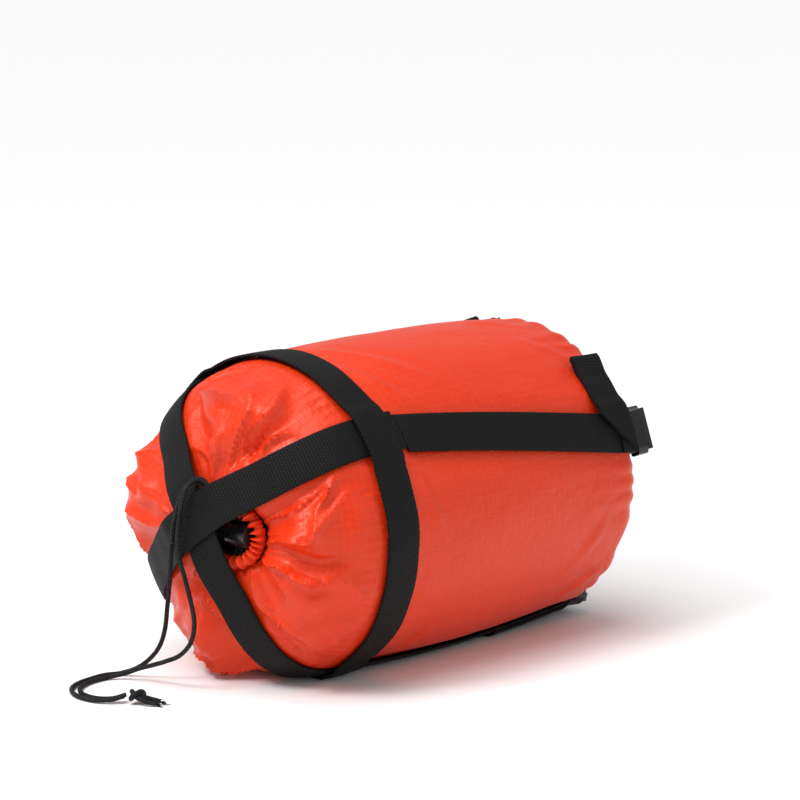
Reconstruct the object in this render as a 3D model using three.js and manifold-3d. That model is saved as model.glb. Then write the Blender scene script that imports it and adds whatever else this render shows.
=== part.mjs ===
// Compression sack: a stuffed fabric cylinder lying on its side, squeezed between a webbing hoop at its
// drawcord mouth and four ladder locks on its base. Millimetres, +Z up, mouth end towards -X.
// The last lines move the origin to the middle of the underside.
import * as THREE from 'three';
import { mergeVertices } from 'three/addons/utils/BufferGeometryUtils.js';
import Module from 'manifold-3d';

// ---- driving dimensions ----
const RADIUS = 97.5; // fabric radius at the hoop
const BASE_RADIUS = 95; // and at the base shoulder
const RISE = 2; // the base end of the axis is this much higher
const BELLY = 4; // how much wider the tube is midway
const LENGTH = 200; // hoop to base shoulder
const HOOP_X = -78;
const BASE_X = HOOP_X + LENGTH;
const FLAT = 22; // half width of the flat that the sack lies on
const AXIS_Z = Math.sqrt(RADIUS ** 2 - FLAT ** 2);
const MOUTH = { x: HOOP_X, sign: -1, radius: RADIUS, depth: 74, power: 2.2 };
const BASE = { x: BASE_X, sign: 1, radius: BASE_RADIUS, depth: 34, power: 2.4 };
const FABRIC = 1.2; // modelled fabric thickness
const GAP = 0.3; // clearance between touching pieces
const WEB_WIDTH = 25;
const WEB = 1.6; // webbing thickness
const LAYER = WEB + GAP; // height that one layer of webbing takes up
const HOOP_LEAN = 4; // the hoop's top leans this far towards the mouth
const PUFF = 11; // how far the gathered fabric swells between the crossed straps
const CROSS_CENTRE = [-5, 9]; // where the straps cross, from the sack's axis (y, z)
const CROSS_RAISE = 5.5; // the crossed straps stand off the gathers by this much
const OPENING = { y: -22, z: 2, halfY: 26, halfZ: 22, dip: 6, theta: 1.4 }; // the drawn-in mouth, from the axis
const HEM_RADIUS = 3.6;
const HEM_BORE = 2.3;
const HEM_WRAP = 118; // degrees that the hem wraps each way round its cord
const HEM_CORD = [-68, 258]; // where the cord enters and leaves the hem, in degrees
const FILL_SLACK = 3; // air between the fabric and the contents
const POCKET = { share: 0.88, spread: 2.5, depth: 14, floor: 18 }; // in the contents, behind the cord lock
const STUB = 16; // the crossed straps reach this far past the hoop
const CORD = 2.8; // drawcord diameter

const deg = THREE.MathUtils.degToRad;
const clamp = THREE.MathUtils.clamp;
const lerp = THREE.MathUtils.lerp;
const ease = (x) => THREE.MathUtils.smoothstep(x, 0, 1);

// The four straps: angle round the axis from the near side (-Y) up, at the hoop and at the base.
const STRAPS = [
  { name: 'near_top', hoop: deg(38), base: deg(20), folded: true },
  { name: 'far_top', hoop: deg(134), base: deg(122), folded: true },
  { name: 'far_bottom', hoop: deg(-146), base: deg(-156), folded: false },
  { name: 'near_bottom', hoop: deg(-70), base: deg(-74), folded: false },
];
const STRAP = Object.fromEntries(STRAPS.map((s) => [s.name, s]));
const TAIL_LENGTH = 62; // straight tails, doubled back along their own strap
// Cross-sections of the tube and of what lies along it, from the hoop.
const STATIONS = [0, 9, 19, 27, 50, 76, 102, 126, 134, 156, 178, LENGTH];
const BAND_LENGTH = 66; // folded tails, laid round the sack
const PANEL_RIM = deg(56); // the base panel's seam, round the shoulder
const RUN_END = deg(18); // where the side runs end
const LOOP_END = deg(62); // where the anchor loops are sewn down
const LOCK_THETA = deg(32); // where the locks sit
const LOCK = { width: 31, length: 22, thick: 3.6, bar: 3.6, slotWidth: 26.4, corner: 5, lift: 4.4, eye: 2.8 };
const SLOT = (LOCK.length - 3 * LOCK.bar) / 2;
const PIVOT = { t: LOCK.length / 2 - LOCK.bar / 2, n: LOCK.lift + LOCK.thick / 2 };
const CORD_LOCK = {
  x: -141, z: 97, top: 104.6, cords: [-23.5, -27.1], radius: 7.5, back: -37, front: -20, wall: 1.8,
  bore: 5.3, plunger: 5, inner: -30.5, cap: -15, travel: 4,
};

const COLOUR = {
  shell: ['#ea4a20', 0.45],
  webbing: ['#151517', 0.8],
  moulding: ['#1a1a1c', 0.3],
  cord: ['#1b1b1d', 0.75],
  contents: ['#6b7280', 0.85],
  spring: ['#b9bcc0', 0.3],
};

// ---- solids from rows of points ----

/** Turns a closed triangle list the right way out. */
function outward(geometry) {
  const p = geometry.attributes.position;
  const index = geometry.index.array;
  const corners = [new THREE.Vector3(), new THREE.Vector3(), new THREE.Vector3()];
  let volume = 0;
  for (let i = 0; i < index.length; i += 3) {
    corners.forEach((c, k) => c.fromBufferAttribute(p, index[i + k]));
    volume += corners[0].dot(corners[1].cross(corners[2]));
  }
  if (volume < 0) {
    for (let i = 0; i < index.length; i += 3) {
      [index[i], index[i + 1]] = [index[i + 1], index[i]];
    }
  }
  geometry.computeVertexNormals();
  return geometry;
}

/** Joins loops of points, all of one even count, into a closed solid. A ring's last loop meets its first. */
function loft(loops, ring = false) {
  const count = loops[0].length;
  const index = [];
  const quad = (a, b, c, d) => index.push(a, b, c, a, c, d);
  for (let i = 0; i < loops.length - (ring ? 0 : 1); i++) {
    const here = i * count;
    const next = ((i + 1) % loops.length) * count;
    for (let k = 0; k < count; k++) {
      const l = (k + 1) % count;
      quad(here + k, here + l, next + l, next + k);
    }
  }
  if (!ring) {
    const last = (loops.length - 1) * count;
    for (let k = 0; k < count / 2 - 1; k++) {
      quad(k, count - 1 - k, count - 2 - k, k + 1);
      quad(last + k, last + k + 1, last + count - 2 - k, last + count - 1 - k);
    }
  }
  const geometry = new THREE.BufferGeometry();
  geometry.setAttribute('position', new THREE.Float32BufferAttribute(loops.flat(2), 3));
  geometry.setIndex(index);
  return outward(geometry);
}

/** One loop across a strip: its outer row one way, then its inner row back. */
function across(width, samples, outer, inner) {
  const vs = Array.from({ length: samples }, (_, j) => width * (j / (samples - 1) - 0.5));
  return [...vs.map(outer), ...vs.reverse().map(inner)];
}

const steps = (n, f) => Array.from({ length: n + 1 }, (_, i) => f(i / n));

// ---- booleans ----

const wasm = await Module();
wasm.setup();

function toManifold(geometry) {
  const bare = geometry.clone();
  for (const name of ['normal', 'uv']) bare.deleteAttribute(name);
  const merged = mergeVertices(bare, 1e-4);
  return new wasm.Manifold(
    new wasm.Mesh({
      numProp: 3,
      vertProperties: new Float32Array(merged.attributes.position.array),
      triVerts: new Uint32Array(merged.index.array),
    }),
  );
}

function fromManifold(solid) {
  const mesh = solid.getMesh();
  const geometry = new THREE.BufferGeometry();
  geometry.setAttribute('position', new THREE.Float32BufferAttribute(mesh.vertProperties, 3));
  geometry.setIndex(Array.from(mesh.triVerts));
  geometry.computeVertexNormals();
  return geometry;
}

const union = (...parts) => fromManifold(parts.map(toManifold).reduce((a, b) => a.add(b)));
const cut = (body, ...tools) =>
  fromManifold(tools.map(toManifold).reduce((a, b) => a.subtract(b), toManifold(body)));

// ---- the sack's surface ----

const along = (x) => clamp((x - HOOP_X) / LENGTH, 0, 1);
const strapAngle = (strap, x) => lerp(strap.hoop, strap.base, along(x));
const tubeRadius = (x) => lerp(RADIUS, BASE_RADIUS, along(x)) + BELLY * Math.sin(Math.PI * along(x));
const hoopCentre = (phi) => HOOP_X - HOOP_LEAN * Math.sin(phi);
const planAngle = (y, z) => Math.atan2(z, -y);

/** A point at radius r and angle phi, no lower than floor. */
function polar(x, r, phi, floor = 0) {
  const z = AXIS_Z + RISE * along(x) + r * Math.sin(phi);
  return [x, -r * Math.cos(phi), Math.max(z, floor)];
}

/** A point h outside the tube. */
const onTube = (x, phi, h = 0, floor = 0) => polar(x, tubeRadius(x) + h, phi, floor);

/** A point h outside a rounded end, rho from the axis. */
function onEnd(end, rho, phi, h = 0, floor = 0) {
  const u = Math.min(rho / end.radius, 1);
  const d = (1 - u ** end.power) ** (1 / end.power);
  const slope = [u ** (end.power - 1) / end.radius, d ** (end.power - 1) / end.depth];
  const size = Math.hypot(...slope);
  const x = end.x + end.sign * (end.depth * d + (h * slope[1]) / size);
  return polar(x, u * end.radius + (h * slope[0]) / size, phi, floor);
}

/** How far from the axis a rounded end is at theta: 0 at its rim, a quarter turn at its middle. */
const shoulder = (end, theta) => end.radius * Math.max(Math.cos(theta), 0) ** (2 / end.power);

// Webbing under the sack presses into it, so the floor of each thing above it rises by a layer.
const nearHoop = (x, phi) => 1 - ease((Math.abs(x - hoopCentre(phi)) - 19) / 8);
const underTail = (x) => ease((x - (BASE_X - TAIL_LENGTH - 12)) / 8);
function nearRun(x, phi) {
  const off = Math.abs(phi - strapAngle(STRAP.near_bottom, x)) * RADIUS;
  return 1 - ease((off - 25) / 14);
}
const runFloor = (x, phi) => LAYER * (nearHoop(x, phi) + underTail(x));
const shellFloor = (x, phi) => GAP / 2 + LAYER * (nearHoop(x, phi) + nearRun(x, phi) * (1 + underTail(x)));

// ---- fabric ----

/** A skin round the sack, through rows: profile(row, phi, h) is its surface, h outwards. */
function skin(rows, count, profile) {
  const back = [...rows].reverse();
  return loft(
    Array.from({ length: count }, (_, i) => {
      const phi = (2 * Math.PI * i) / count - Math.PI;
      return [...rows.map((row) => profile(row, phi, 0)), ...back.map((row) => profile(row, phi, -FABRIC))];
    }),
    true,
  );
}

const tubeRows = [
  ...STATIONS.map((s) => ({ x: HOOP_X + Math.max(s, GAP / 2) })),
  ...steps(2, (t) => ({ theta: PANEL_RIM * lerp(0.4, 1, t) })),
];
const tubePoint = ({ x, theta }, phi, h) =>
  theta === undefined
    ? onTube(x, phi, h, shellFloor(x, phi) - h)
    : onEnd(BASE, shoulder(BASE, theta), phi, h, shellFloor(BASE_X, phi) - h);

const panelPoint = (t, phi, h) =>
  onEnd(BASE, shoulder(BASE, lerp(PANEL_RIM + deg(0.4), deg(89), t)), phi, h);

/** The middle of a strap over the mouth: q is 1 at one end, 0 near the crossing and -1 at the other. */
function crossPlan(q, [from, to]) {
  const rho = Math.sign(q) * shoulder(MOUTH, (1 - Math.abs(q)) * (Math.PI / 2));
  const phi = lerp(to - Math.PI, from, ease((q + 1) / 2));
  const pull = (1 - (rho / RADIUS) ** 2) ** 2;
  return {
    reach: Math.abs(rho),
    y: -rho * Math.cos(phi) + pull * CROSS_CENTRE[0],
    z: rho * Math.sin(phi) + pull * CROSS_CENTRE[1],
    side: [Math.sin(phi), Math.cos(phi)],
  };
}

const CROSS_A = [STRAP.near_top.hoop, STRAP.far_bottom.hoop + 2 * Math.PI];
const CROSS_B = [STRAP.near_bottom.hoop, STRAP.far_top.hoop];
const crossings = [CROSS_A, CROSS_B].flatMap((ends) => steps(48, (t) => crossPlan(1 - 2 * t, ends)));
const offStraps = (y, z) => Math.min(...crossings.map((p) => Math.hypot(p.y - y, p.z - z)));

/** The gathered mouth: t runs from the hoop seam to the drawn-in opening. */
function mouthPoint(t, phi, h) {
  const inner = shoulder(MOUTH, OPENING.theta);
  const rho = shoulder(MOUTH, t * OPENING.theta);
  const share = clamp((RADIUS - rho) / (RADIUS - inner), 0, 1);
  const drawn = share ** 1.5;
  const y = -Math.cos(phi) * lerp(RADIUS, OPENING.halfY, share) + drawn * OPENING.y;
  const z = Math.sin(phi) * lerp(RADIUS, OPENING.halfZ, share) + drawn * OPENING.z;
  const reach = Math.min(Math.hypot(y, z), RADIUS);
  const swell = PUFF * ease((offStraps(y, z) - 17) / 22) * ease((RADIUS - reach) / 22) * ease((1 - t) * 3);
  const dip = OPENING.dip * share ** 12;
  return onEnd(MOUTH, reach, planAngle(y, z), h + swell - dip, shellFloor(HOOP_X, phi) - h);
}

/** The opening's edge, pulled in by inset and set back by the dip and depth. */
function openingPoint(phi, inset, depth) {
  const y = OPENING.y - Math.cos(phi) * (OPENING.halfY - inset);
  const z = OPENING.z + Math.sin(phi) * (OPENING.halfZ - inset);
  return onEnd(MOUTH, Math.hypot(y, z), planAngle(y, z), -OPENING.dip - depth);
}

/** The folded hem: a channel round the opening, open towards its middle, where the cord runs. */
function hemChannel() {
  const arc = (radius, phi, bend) => openingPoint(phi, HEM_RADIUS + GAP - radius * Math.cos(bend), radius * Math.sin(bend));
  const bends = steps(6, (t) => deg(lerp(-HEM_WRAP, HEM_WRAP, t)));
  return loft(
    Array.from({ length: 36 }, (_, i) => {
      const phi = (2 * Math.PI * i) / 36;
      return [
        ...bends.map((bend) => arc(HEM_RADIUS, phi, bend)),
        ...bends.map((bend) => arc(HEM_BORE, phi, -bend)),
      ];
    }),
    true,
  );
}

/** The packed contents: a solid that fills the sack, with a pocket behind the mouth for the cord lock. */
function packedFill() {
  const inset = FABRIC + FILL_SLACK;
  const back = { ...BASE, radius: BASE_RADIUS - inset, depth: BASE.depth - inset };
  const row = (place) =>
    Array.from({ length: 36 }, (_, i) => {
      const phi = (2 * Math.PI * i) / 36 - Math.PI;
      return place(phi, 3 * LAYER + inset);
    });
  const raised = ([x, y, z], floor) => [x, y, Math.max(z, floor)];
  const nearlyFull = deg(88);
  return loft([
    row((phi) => openingPoint(phi, POCKET.floor, POCKET.depth)),
    row((phi) => openingPoint(phi, -POCKET.spread, POCKET.depth)),
    ...steps(6, (t) => row((phi, floor) => raised(mouthPoint(POCKET.share * (1 - t), phi, -inset), floor))),
    ...steps(5, (t) => row((phi, floor) => onTube(lerp(HOOP_X + 6, BASE_X, t), phi, -inset, floor))),
    ...steps(3, (t) => row((phi, floor) => onEnd(back, shoulder(back, nearlyFull * (t * 0.9 + 0.1)), phi, 0, floor))),
  ]);
}

// ---- straps over the sack ----

/** The mouth part of a strap, from under the hoop on one side to under it on the other. */
function crossStrap(ends, over) {
  const section = (place) => across(WEB_WIDTH, 5, (v) => place(v, WEB), (v) => place(v, 0));
  const leg = (phi, x, way) =>
    section((v, h) => {
      const angle = phi + (way * v) / RADIUS;
      return onTube(x, angle, 1.5 * GAP + h, runFloor(x, angle) + WEB - h);
    });
  const span = (q) => {
    const plan = crossPlan(q, ends);
    const lift = CROSS_RAISE * (1 - ease((plan.reach - 20) / 34));
    const crossing = over ? LAYER * (1 - ease((plan.reach - 20) / 12)) : 0;
    return section((v, h) => {
      const y = plan.y + v * plan.side[0];
      const z = plan.z + v * plan.side[1];
      const reach = lerp(Math.hypot(y, z), plan.reach, (plan.reach / RADIUS) ** 4);
      return onEnd(MOUTH, reach, planAngle(y, z), GAP + h + lift + crossing, LAYER + WEB - h);
    });
  };
  return loft([
    ...steps(2, (t) => leg(ends[0], HOOP_X + 0.5 + STUB * (1 - t), 1)),
    ...steps(32, (t) => span(0.97 - 1.94 * t)),
    ...steps(2, (t) => leg(ends[1], HOOP_X + 0.5 + STUB * t, -1)),
  ]);
}

/** The hoop: a webbing ring sewn over the seam, humped where it passes over each strap. */
function hoop() {
  const hump = (phi) =>
    Math.max(
      ...STRAPS.map((s) => {
        const off = Math.abs(Math.atan2(Math.sin(phi - s.hoop), Math.cos(phi - s.hoop)));
        return 1 - ease((off * RADIUS - 16) / 9);
      }),
    );
  return loft(
    Array.from({ length: 90 }, (_, i) => {
      const phi = (2 * Math.PI * i) / 90 - Math.PI;
      const height = GAP + LAYER * hump(phi);
      const x = hoopCentre(phi);
      const point = (v, h, floor) => polar(x + v, RADIUS + 3 * GAP + h, phi, floor);
      return across(WEB_WIDTH, 2, (v) => point(v, height + WEB, 0), (v) => point(v, height, WEB));
    }),
    true,
  );
}

/** A layer of strap along the tube from x and round the base shoulder to theta. */
function alongSack(strap, x, theta, level, floorAt) {
  const h = GAP + level * LAYER;
  const section = (place) =>
    across(WEB_WIDTH, 5, (v) => place(v, h + WEB, 0), (v) => place(v, h, WEB));
  const onSide = (at) =>
    section((v, height, wall) => {
      const phi = strapAngle(strap, at) + v / tubeRadius(at);
      return onTube(at, phi, height, floorAt(at, phi) + wall);
    });
  const onShoulder = (angle) =>
    section((v, height, wall) => {
      const rho = shoulder(BASE, angle);
      return onEnd(BASE, rho, strap.base + v / rho, height, floorAt(BASE_X, strap.base) + wall);
    });
  const rows = [x, ...STATIONS.map((s) => HOOP_X + s).filter((s) => s > x + 1)];
  return loft([...rows.map(onSide), ...steps(2, (t) => onShoulder(theta * lerp(0.4, 1, t)))]);
}

/** A tail folded at 45 degrees over its strap and laid round the sack, its end turned under. */
function foldedTail(strap) {
  const middle = BASE_X - 3;
  const half = WEB_WIDTH / 2;
  const stub = alongSack(strap, middle - half + 1, RUN_END, 1, () => 0);
  const onBand = (s, h, v) => {
    const phi = strapAngle(strap, middle) + s / RADIUS;
    return onTube(middle + v, phi, h);
  };
  const band = steps(16, (t) => {
    const s = lerp(-half + 2, BAND_LENGTH - half, t);
    const h = GAP + LAYER * 1.7 * (1 - ease((s - half - 2) / 12)) + 3.5 * ease((t - 0.84) / 0.16);
    return across(WEB_WIDTH, 2, (v) => onBand(s, h + WEB, v), (v) => onBand(s, h, v));
  });
  const turnedEnd = steps(3, (t) => {
    const s = BAND_LENGTH - half - 12 * (1 - t);
    const h = GAP + WEB - 0.2 + 3.5 * ease((1 - (12 * (1 - t)) / BAND_LENGTH - 0.84) / 0.16);
    return across(WEB_WIDTH, 2, (v) => onBand(s, h + WEB, v), (v) => onBand(s, h, v));
  });
  return union(stub, loft(band), loft(turnedEnd));
}

// ---- ladder locks ----

/** A lock's own axes: t towards the middle of the base, n outwards, b across the strap. */
function lockFrame(strap) {
  const at = (h) => new THREE.Vector3(...onEnd(BASE, shoulder(BASE, LOCK_THETA), strap.base, h));
  const origin = at(0);
  const n = at(1).sub(origin).normalize();
  const b = new THREE.Vector3(0, Math.sin(strap.base), Math.cos(strap.base));
  const t = new THREE.Vector3().crossVectors(b, n);
  return { origin, n, b, t };
}

/** Where a spot on the base end lies in a lock's own (t, n). */
function inLock(frame, strap, theta, h) {
  const p = new THREE.Vector3(...onEnd(BASE, shoulder(BASE, theta), strap.base, h)).sub(frame.origin);
  return [p.dot(frame.t), p.dot(frame.n)];
}

/** A ribbon in a lock's frame whose middle line is a smooth curve through (t, n) points. */
function turnedRibbon(frame, line) {
  const curve = new THREE.SplineCurve(line.map((p) => new THREE.Vector2(...p)));
  return loft(
    steps(line.length * 2, (s) => {
      const p = curve.getPoint(s);
      const way = curve.getTangent(s);
      const point = (v, side) =>
        frame.origin
          .clone()
          .addScaledVector(frame.t, p.x - (way.y * side * WEB) / 2)
          .addScaledVector(frame.n, p.y + (way.x * side * WEB) / 2)
          .addScaledVector(frame.b, v)
          .toArray();
      return across(WEB_WIDTH, 2, (v) => point(v, 1), (v) => point(v, -1));
    }),
  );
}

/** A three-bar frame, drawn flat with its width along X and its fixed bar at +Y. */
function ladderLock() {
  const outline = new THREE.Shape();
  const [w, l, r] = [LOCK.width / 2, LOCK.length / 2, LOCK.corner];
  outline.moveTo(w - r, -l);
  outline.absarc(w - r, -l + r, r, -Math.PI / 2, 0);
  outline.absarc(w - r, l - r, r, 0, Math.PI / 2);
  outline.absarc(-w + r, l - r, r, Math.PI / 2, Math.PI);
  outline.absarc(-w + r, -l + r, r, Math.PI, 1.5 * Math.PI);
  for (const side of [-1, 1]) {
    const [near, far] = [(side * LOCK.bar) / 2, side * (LOCK.bar / 2 + SLOT)];
    const slot = new THREE.Path();
    slot.moveTo(-LOCK.slotWidth / 2, near);
    slot.lineTo(-LOCK.slotWidth / 2, far);
    slot.lineTo(LOCK.slotWidth / 2, far);
    slot.lineTo(LOCK.slotWidth / 2, near);
    outline.holes.push(slot);
  }
  const bevel = 0.5;
  const geometry = new THREE.ExtrudeGeometry(outline, {
    depth: LOCK.thick - 2 * bevel,
    bevelThickness: bevel,
    bevelSize: bevel,
    bevelOffset: -bevel,
    bevelSegments: 1,
    curveSegments: 4,
  });
  return geometry.translate(0, 0, LOCK.lift + bevel);
}

/** The strap's turn round the middle bar, from the end of its run to the start of its tail. */
function lockWrap(frame, strap) {
  const top = LOCK.lift + LOCK.thick + 2 * GAP + WEB / 2;
  const middle = LOCK.lift + LOCK.thick / 2;
  const through = LOCK.bar / 2 + 2 * GAP + WEB / 2;
  const start = RUN_END + deg(1.2);
  return turnedRibbon(frame, [
    inLock(frame, strap, start, GAP + WEB / 2),
    [-7, 0.7],
    [-1, 1.8],
    [through - 0.3, middle - 2.3],
    [through, middle],
    [through - 0.6, top - 0.9],
    [0, top],
    [0.6 - through, top - 0.9],
    [-through, middle],
    [-through - 1, middle - 2],
    [-8.5, 2.9],
    inLock(frame, strap, start, GAP + LAYER + WEB / 2),
  ]);
}

/** A sewn loop of webbing that holds the lock's fixed bar to the base. */
function anchorLoop(frame, strap) {
  const reach = LOCK.eye + WEB / 2;
  const eye = steps(8, (s) => -Math.PI * (0.5 + s)).map((a) => [
    PIVOT.t + reach * Math.cos(a),
    PIVOT.n + reach * Math.sin(a),
  ]);
  return turnedRibbon(frame, [
    inLock(frame, strap, LOOP_END, GAP + WEB / 2),
    inLock(frame, strap, (LOCK_THETA + LOOP_END) * 0.56, GAP + 0.4 + WEB / 2),
    ...eye,
    inLock(frame, strap, (LOCK_THETA + LOOP_END) * 0.58, 2 * LAYER + WEB),
    inLock(frame, strap, LOOP_END, GAP + LAYER + WEB / 2),
  ]);
}

/** Webbing sewn across the base between two opposite loops. */
function baseStrap(first, second, over) {
  const section = (q) => {
    const rho = Math.sign(q) * shoulder(BASE, lerp(Math.PI / 2, LOOP_END + deg(0.8), Math.abs(q)));
    const phi = lerp(second - Math.PI, first, ease((q + 1) / 2));
    const lift = GAP + (over ? LAYER * (1 - ease((Math.abs(rho) - 16) / 12)) : 0);
    const place = (v, h) => {
      const y = -rho * Math.cos(phi) + v * Math.sin(phi);
      const z = rho * Math.sin(phi) + v * Math.cos(phi);
      return onEnd(BASE, Math.hypot(y, z), planAngle(y, z), lift + h);
    };
    return across(WEB_WIDTH, 5, (v) => place(v, WEB), (v) => place(v, 0));
  };
  return loft(steps(12, (t) => section(1 - 2 * t)));
}

// ---- drawcord ----

/** A cord of round section along a smooth curve through points. */
function cordAlong(points, divisions) {
  const curve = new THREE.CatmullRomCurve3(points.map((p) => new THREE.Vector3(...p)));
  const section = new THREE.Shape();
  section.absarc(0, 0, CORD / 2, 0, 2 * Math.PI);
  return new THREE.ExtrudeGeometry(section, { steps: divisions, extrudePath: curve, curveSegments: 4 });
}

/** The held part of the cord: up out of the lock, round the hem and back through the lock. */
function channelCord() {
  const [first, second] = CORD_LOCK.cords;
  const ring = steps(20, (t) => {
    const phi = deg(lerp(HEM_CORD[0], HEM_CORD[1], t));
    return openingPoint(phi, HEM_RADIUS + GAP, 0);
  });
  const down = (y) => [[CORD_LOCK.x, y, CORD_LOCK.top], [CORD_LOCK.x, y, CORD_LOCK.z], [CORD_LOCK.x, y, CORD_LOCK.z - 9.5]];
  return cordAlong([...down(second), ...ring, ...down(first).reverse()], 64);
}

// The two free strands, by hand: out of the lock, behind strap A, over its upper edge, down its face
// and away along the floor to the knot.
const STRAND_LEFT = [
  [-141, -23.5, 105.2], [-141.3, -23.4, 107.2], [-145.6, -22.4, 109.8], [-150.8, -20.6, 111.6],
  [-154.2, -17, 115], [-155, -13.6, 119.6], [-154.9, -10.5, 124], [-156.2, -7.4, 127.4], [-159.7, -4.9, 127.9],
  [-163.1, -2.6, 124.6], [-164.8, -1, 119.2], [-165.2, 3.2, 109], [-164.4, 7.5, 95], [-163.6, 10, 81],
  [-162.2, 13, 66], [-160.8, 16.8, 50], [-159, 21.5, 34], [-158, 28, 22], [-158.4, 37, 12.5],
  [-160, 47, 5.5], [-165, 55.5, 1.8], [-175, 59, 1.8], [-187, 58.2, 1.8], [-199, 55.5, 1.8],
  [-208, 50, 1.8], [-214.5, 41, 1.8], [-217, 31, 1.8], [-215.8, 20, 1.9], [-210.4, 11.5, 2.6],
  [-204, 6.6, 4.6],
];
const STRAND_RIGHT = [
  [-141, -27.1, 105.2], [-141.3, -27, 107.4], [-145.6, -26.2, 110.8], [-150.8, -24.4, 113.2],
  [-154, -20.4, 117.2], [-155, -16.8, 122], [-154.9, -13.6, 126.4], [-156.2, -10.5, 129.8], [-159.7, -8, 130.3],
  [-163.2, -5.9, 127], [-165.4, -4.4, 121.6], [-166.2, -1.4, 110], [-165.6, 1, 97], [-164.6, 2, 84],
  [-163.4, -2, 70], [-162.2, -5.8, 56], [-161.4, -7.8, 43], [-161.8, -5, 31.5], [-163, 3, 22.5],
  [-164, 15, 16.6], [-164.4, 27, 12], [-165.6, 38, 8], [-169, 47.5, 3.8], [-176, 53.6, 1.8],
  [-186.6, 54.2, 1.8], [-196.6, 51.6, 1.8], [-204.6, 46.4, 1.8], [-210.4, 38.6, 1.8], [-212.8, 29.6, 1.8],
  [-211.6, 20.6, 1.9], [-206.6, 13, 2.6], [-200.8, 8.6, 4.6],
];
const KNOT = [-199, 1.5, 5.2];

/** The overhand knot and the two cut ends beyond it. */
function knot() {
  const lump = new THREE.SphereGeometry(1, 12, 8);
  lump.scale(6.4, 5.4, 4.8);
  lump.rotateZ(deg(40));
  lump.translate(...KNOT);
  const end = (points) => cordAlong(points, 5);
  return union(
    lump,
    end([[-197, -1, 5], [-193.5, -6, 3.4], [-190, -11, 1.7]]),
    end([[-200.5, -1.5, 4.6], [-199, -7, 2.6], [-195.5, -12.6, 1.9]]),
  );
}

// ---- cord lock ----

/** A cylinder along Y between two stations. */
function barrel(radius, y0, y1, sides = 20) {
  const geometry = new THREE.CylinderGeometry(radius, radius, Math.abs(y1 - y0), sides);
  return geometry.translate(CORD_LOCK.x, (y0 + y1) / 2, CORD_LOCK.z);
}

/** A slot through the lock from top to bottom, from y0 to y1. */
function throughSlot(radius, y0, y1) {
  const outline = new THREE.Shape();
  outline.absarc(0, y0 + radius, radius, Math.PI, 2 * Math.PI);
  outline.absarc(0, y1 - radius, radius, 0, Math.PI);
  const geometry = new THREE.ExtrudeGeometry(outline, { depth: 30, bevelEnabled: false, curveSegments: 6 });
  return geometry.translate(CORD_LOCK.x, 0, CORD_LOCK.z - 15);
}

const cordBand = [Math.min(...CORD_LOCK.cords) - CORD / 2 - GAP, Math.max(...CORD_LOCK.cords) + CORD / 2 + GAP];
const boreRadius = CORD / 2 + GAP;

function cordLockBody() {
  const { radius, back, front, wall } = CORD_LOCK;
  const outside = new THREE.LatheGeometry(
    [[0, back], [radius - 2, back], [radius, back + 2], [radius, front - 0.8], [radius - 0.8, front], [0, front]].map(
      (p) => new THREE.Vector2(...p),
    ),
    24,
  ).translate(CORD_LOCK.x, 0, CORD_LOCK.z);
  return cut(outside, barrel(CORD_LOCK.bore, back + wall, front + 1), throughSlot(boreRadius, ...cordBand));
}

function cordLockPlunger() {
  const { plunger, inner, cap } = CORD_LOCK;
  const body = new THREE.LatheGeometry(
    [[0, inner], [plunger, inner], [plunger, cap - 1.5], [plunger - 1.2, cap], [0, cap]].map((p) => new THREE.Vector2(...p)),
    20,
  ).translate(CORD_LOCK.x, 0, CORD_LOCK.z);
  return cut(body, throughSlot(boreRadius, cordBand[0], cordBand[1] + CORD_LOCK.travel));
}

function cordLockSpring() {
  const turns = 3;
  const wire = 0.35;
  const [y0, y1] = [CORD_LOCK.back + CORD_LOCK.wall + wire + 0.1, CORD_LOCK.inner - wire - 0.1];
  const points = steps(turns * 10, (t) => {
    const angle = 2 * Math.PI * turns * t;
    return new THREE.Vector3(
      CORD_LOCK.x + 3.2 * Math.cos(angle), lerp(y0, y1, t), CORD_LOCK.z + 3.2 * Math.sin(angle),
    );
  });
  const section = new THREE.Shape();
  section.absarc(0, 0, wire, 0, 2 * Math.PI);
  return new THREE.ExtrudeGeometry(section, {
    steps: turns * 10,
    extrudePath: new THREE.CatmullRomCurve3(points),
    curveSegments: 3,
  });
}

// ---- assembly ----

const pieces = new THREE.Group();

function add(name, geometry, [colour, roughness]) {
  const metalness = name.endsWith('spring') ? 1 : 0;
  const mesh = new THREE.Mesh(geometry, new THREE.MeshStandardMaterial({ color: colour, roughness, metalness }));
  mesh.name = name;
  pieces.add(mesh);
  return mesh;
}

add('sack_tube', skin(tubeRows, 48, tubePoint), COLOUR.shell);
add('base_panel', skin(steps(3, (t) => t), 32, panelPoint), COLOUR.shell);
add('mouth_fabric', skin(steps(8, (t) => t), 52, mouthPoint), COLOUR.shell);
add('hem_channel', hemChannel(), COLOUR.shell);
add('packed_fill', packedFill(), COLOUR.contents);
add('mouth_hoop', hoop(), COLOUR.webbing);
add('strap_a_cross', crossStrap(CROSS_A, true), COLOUR.webbing);
add('strap_b_cross', crossStrap(CROSS_B, false), COLOUR.webbing);

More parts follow.
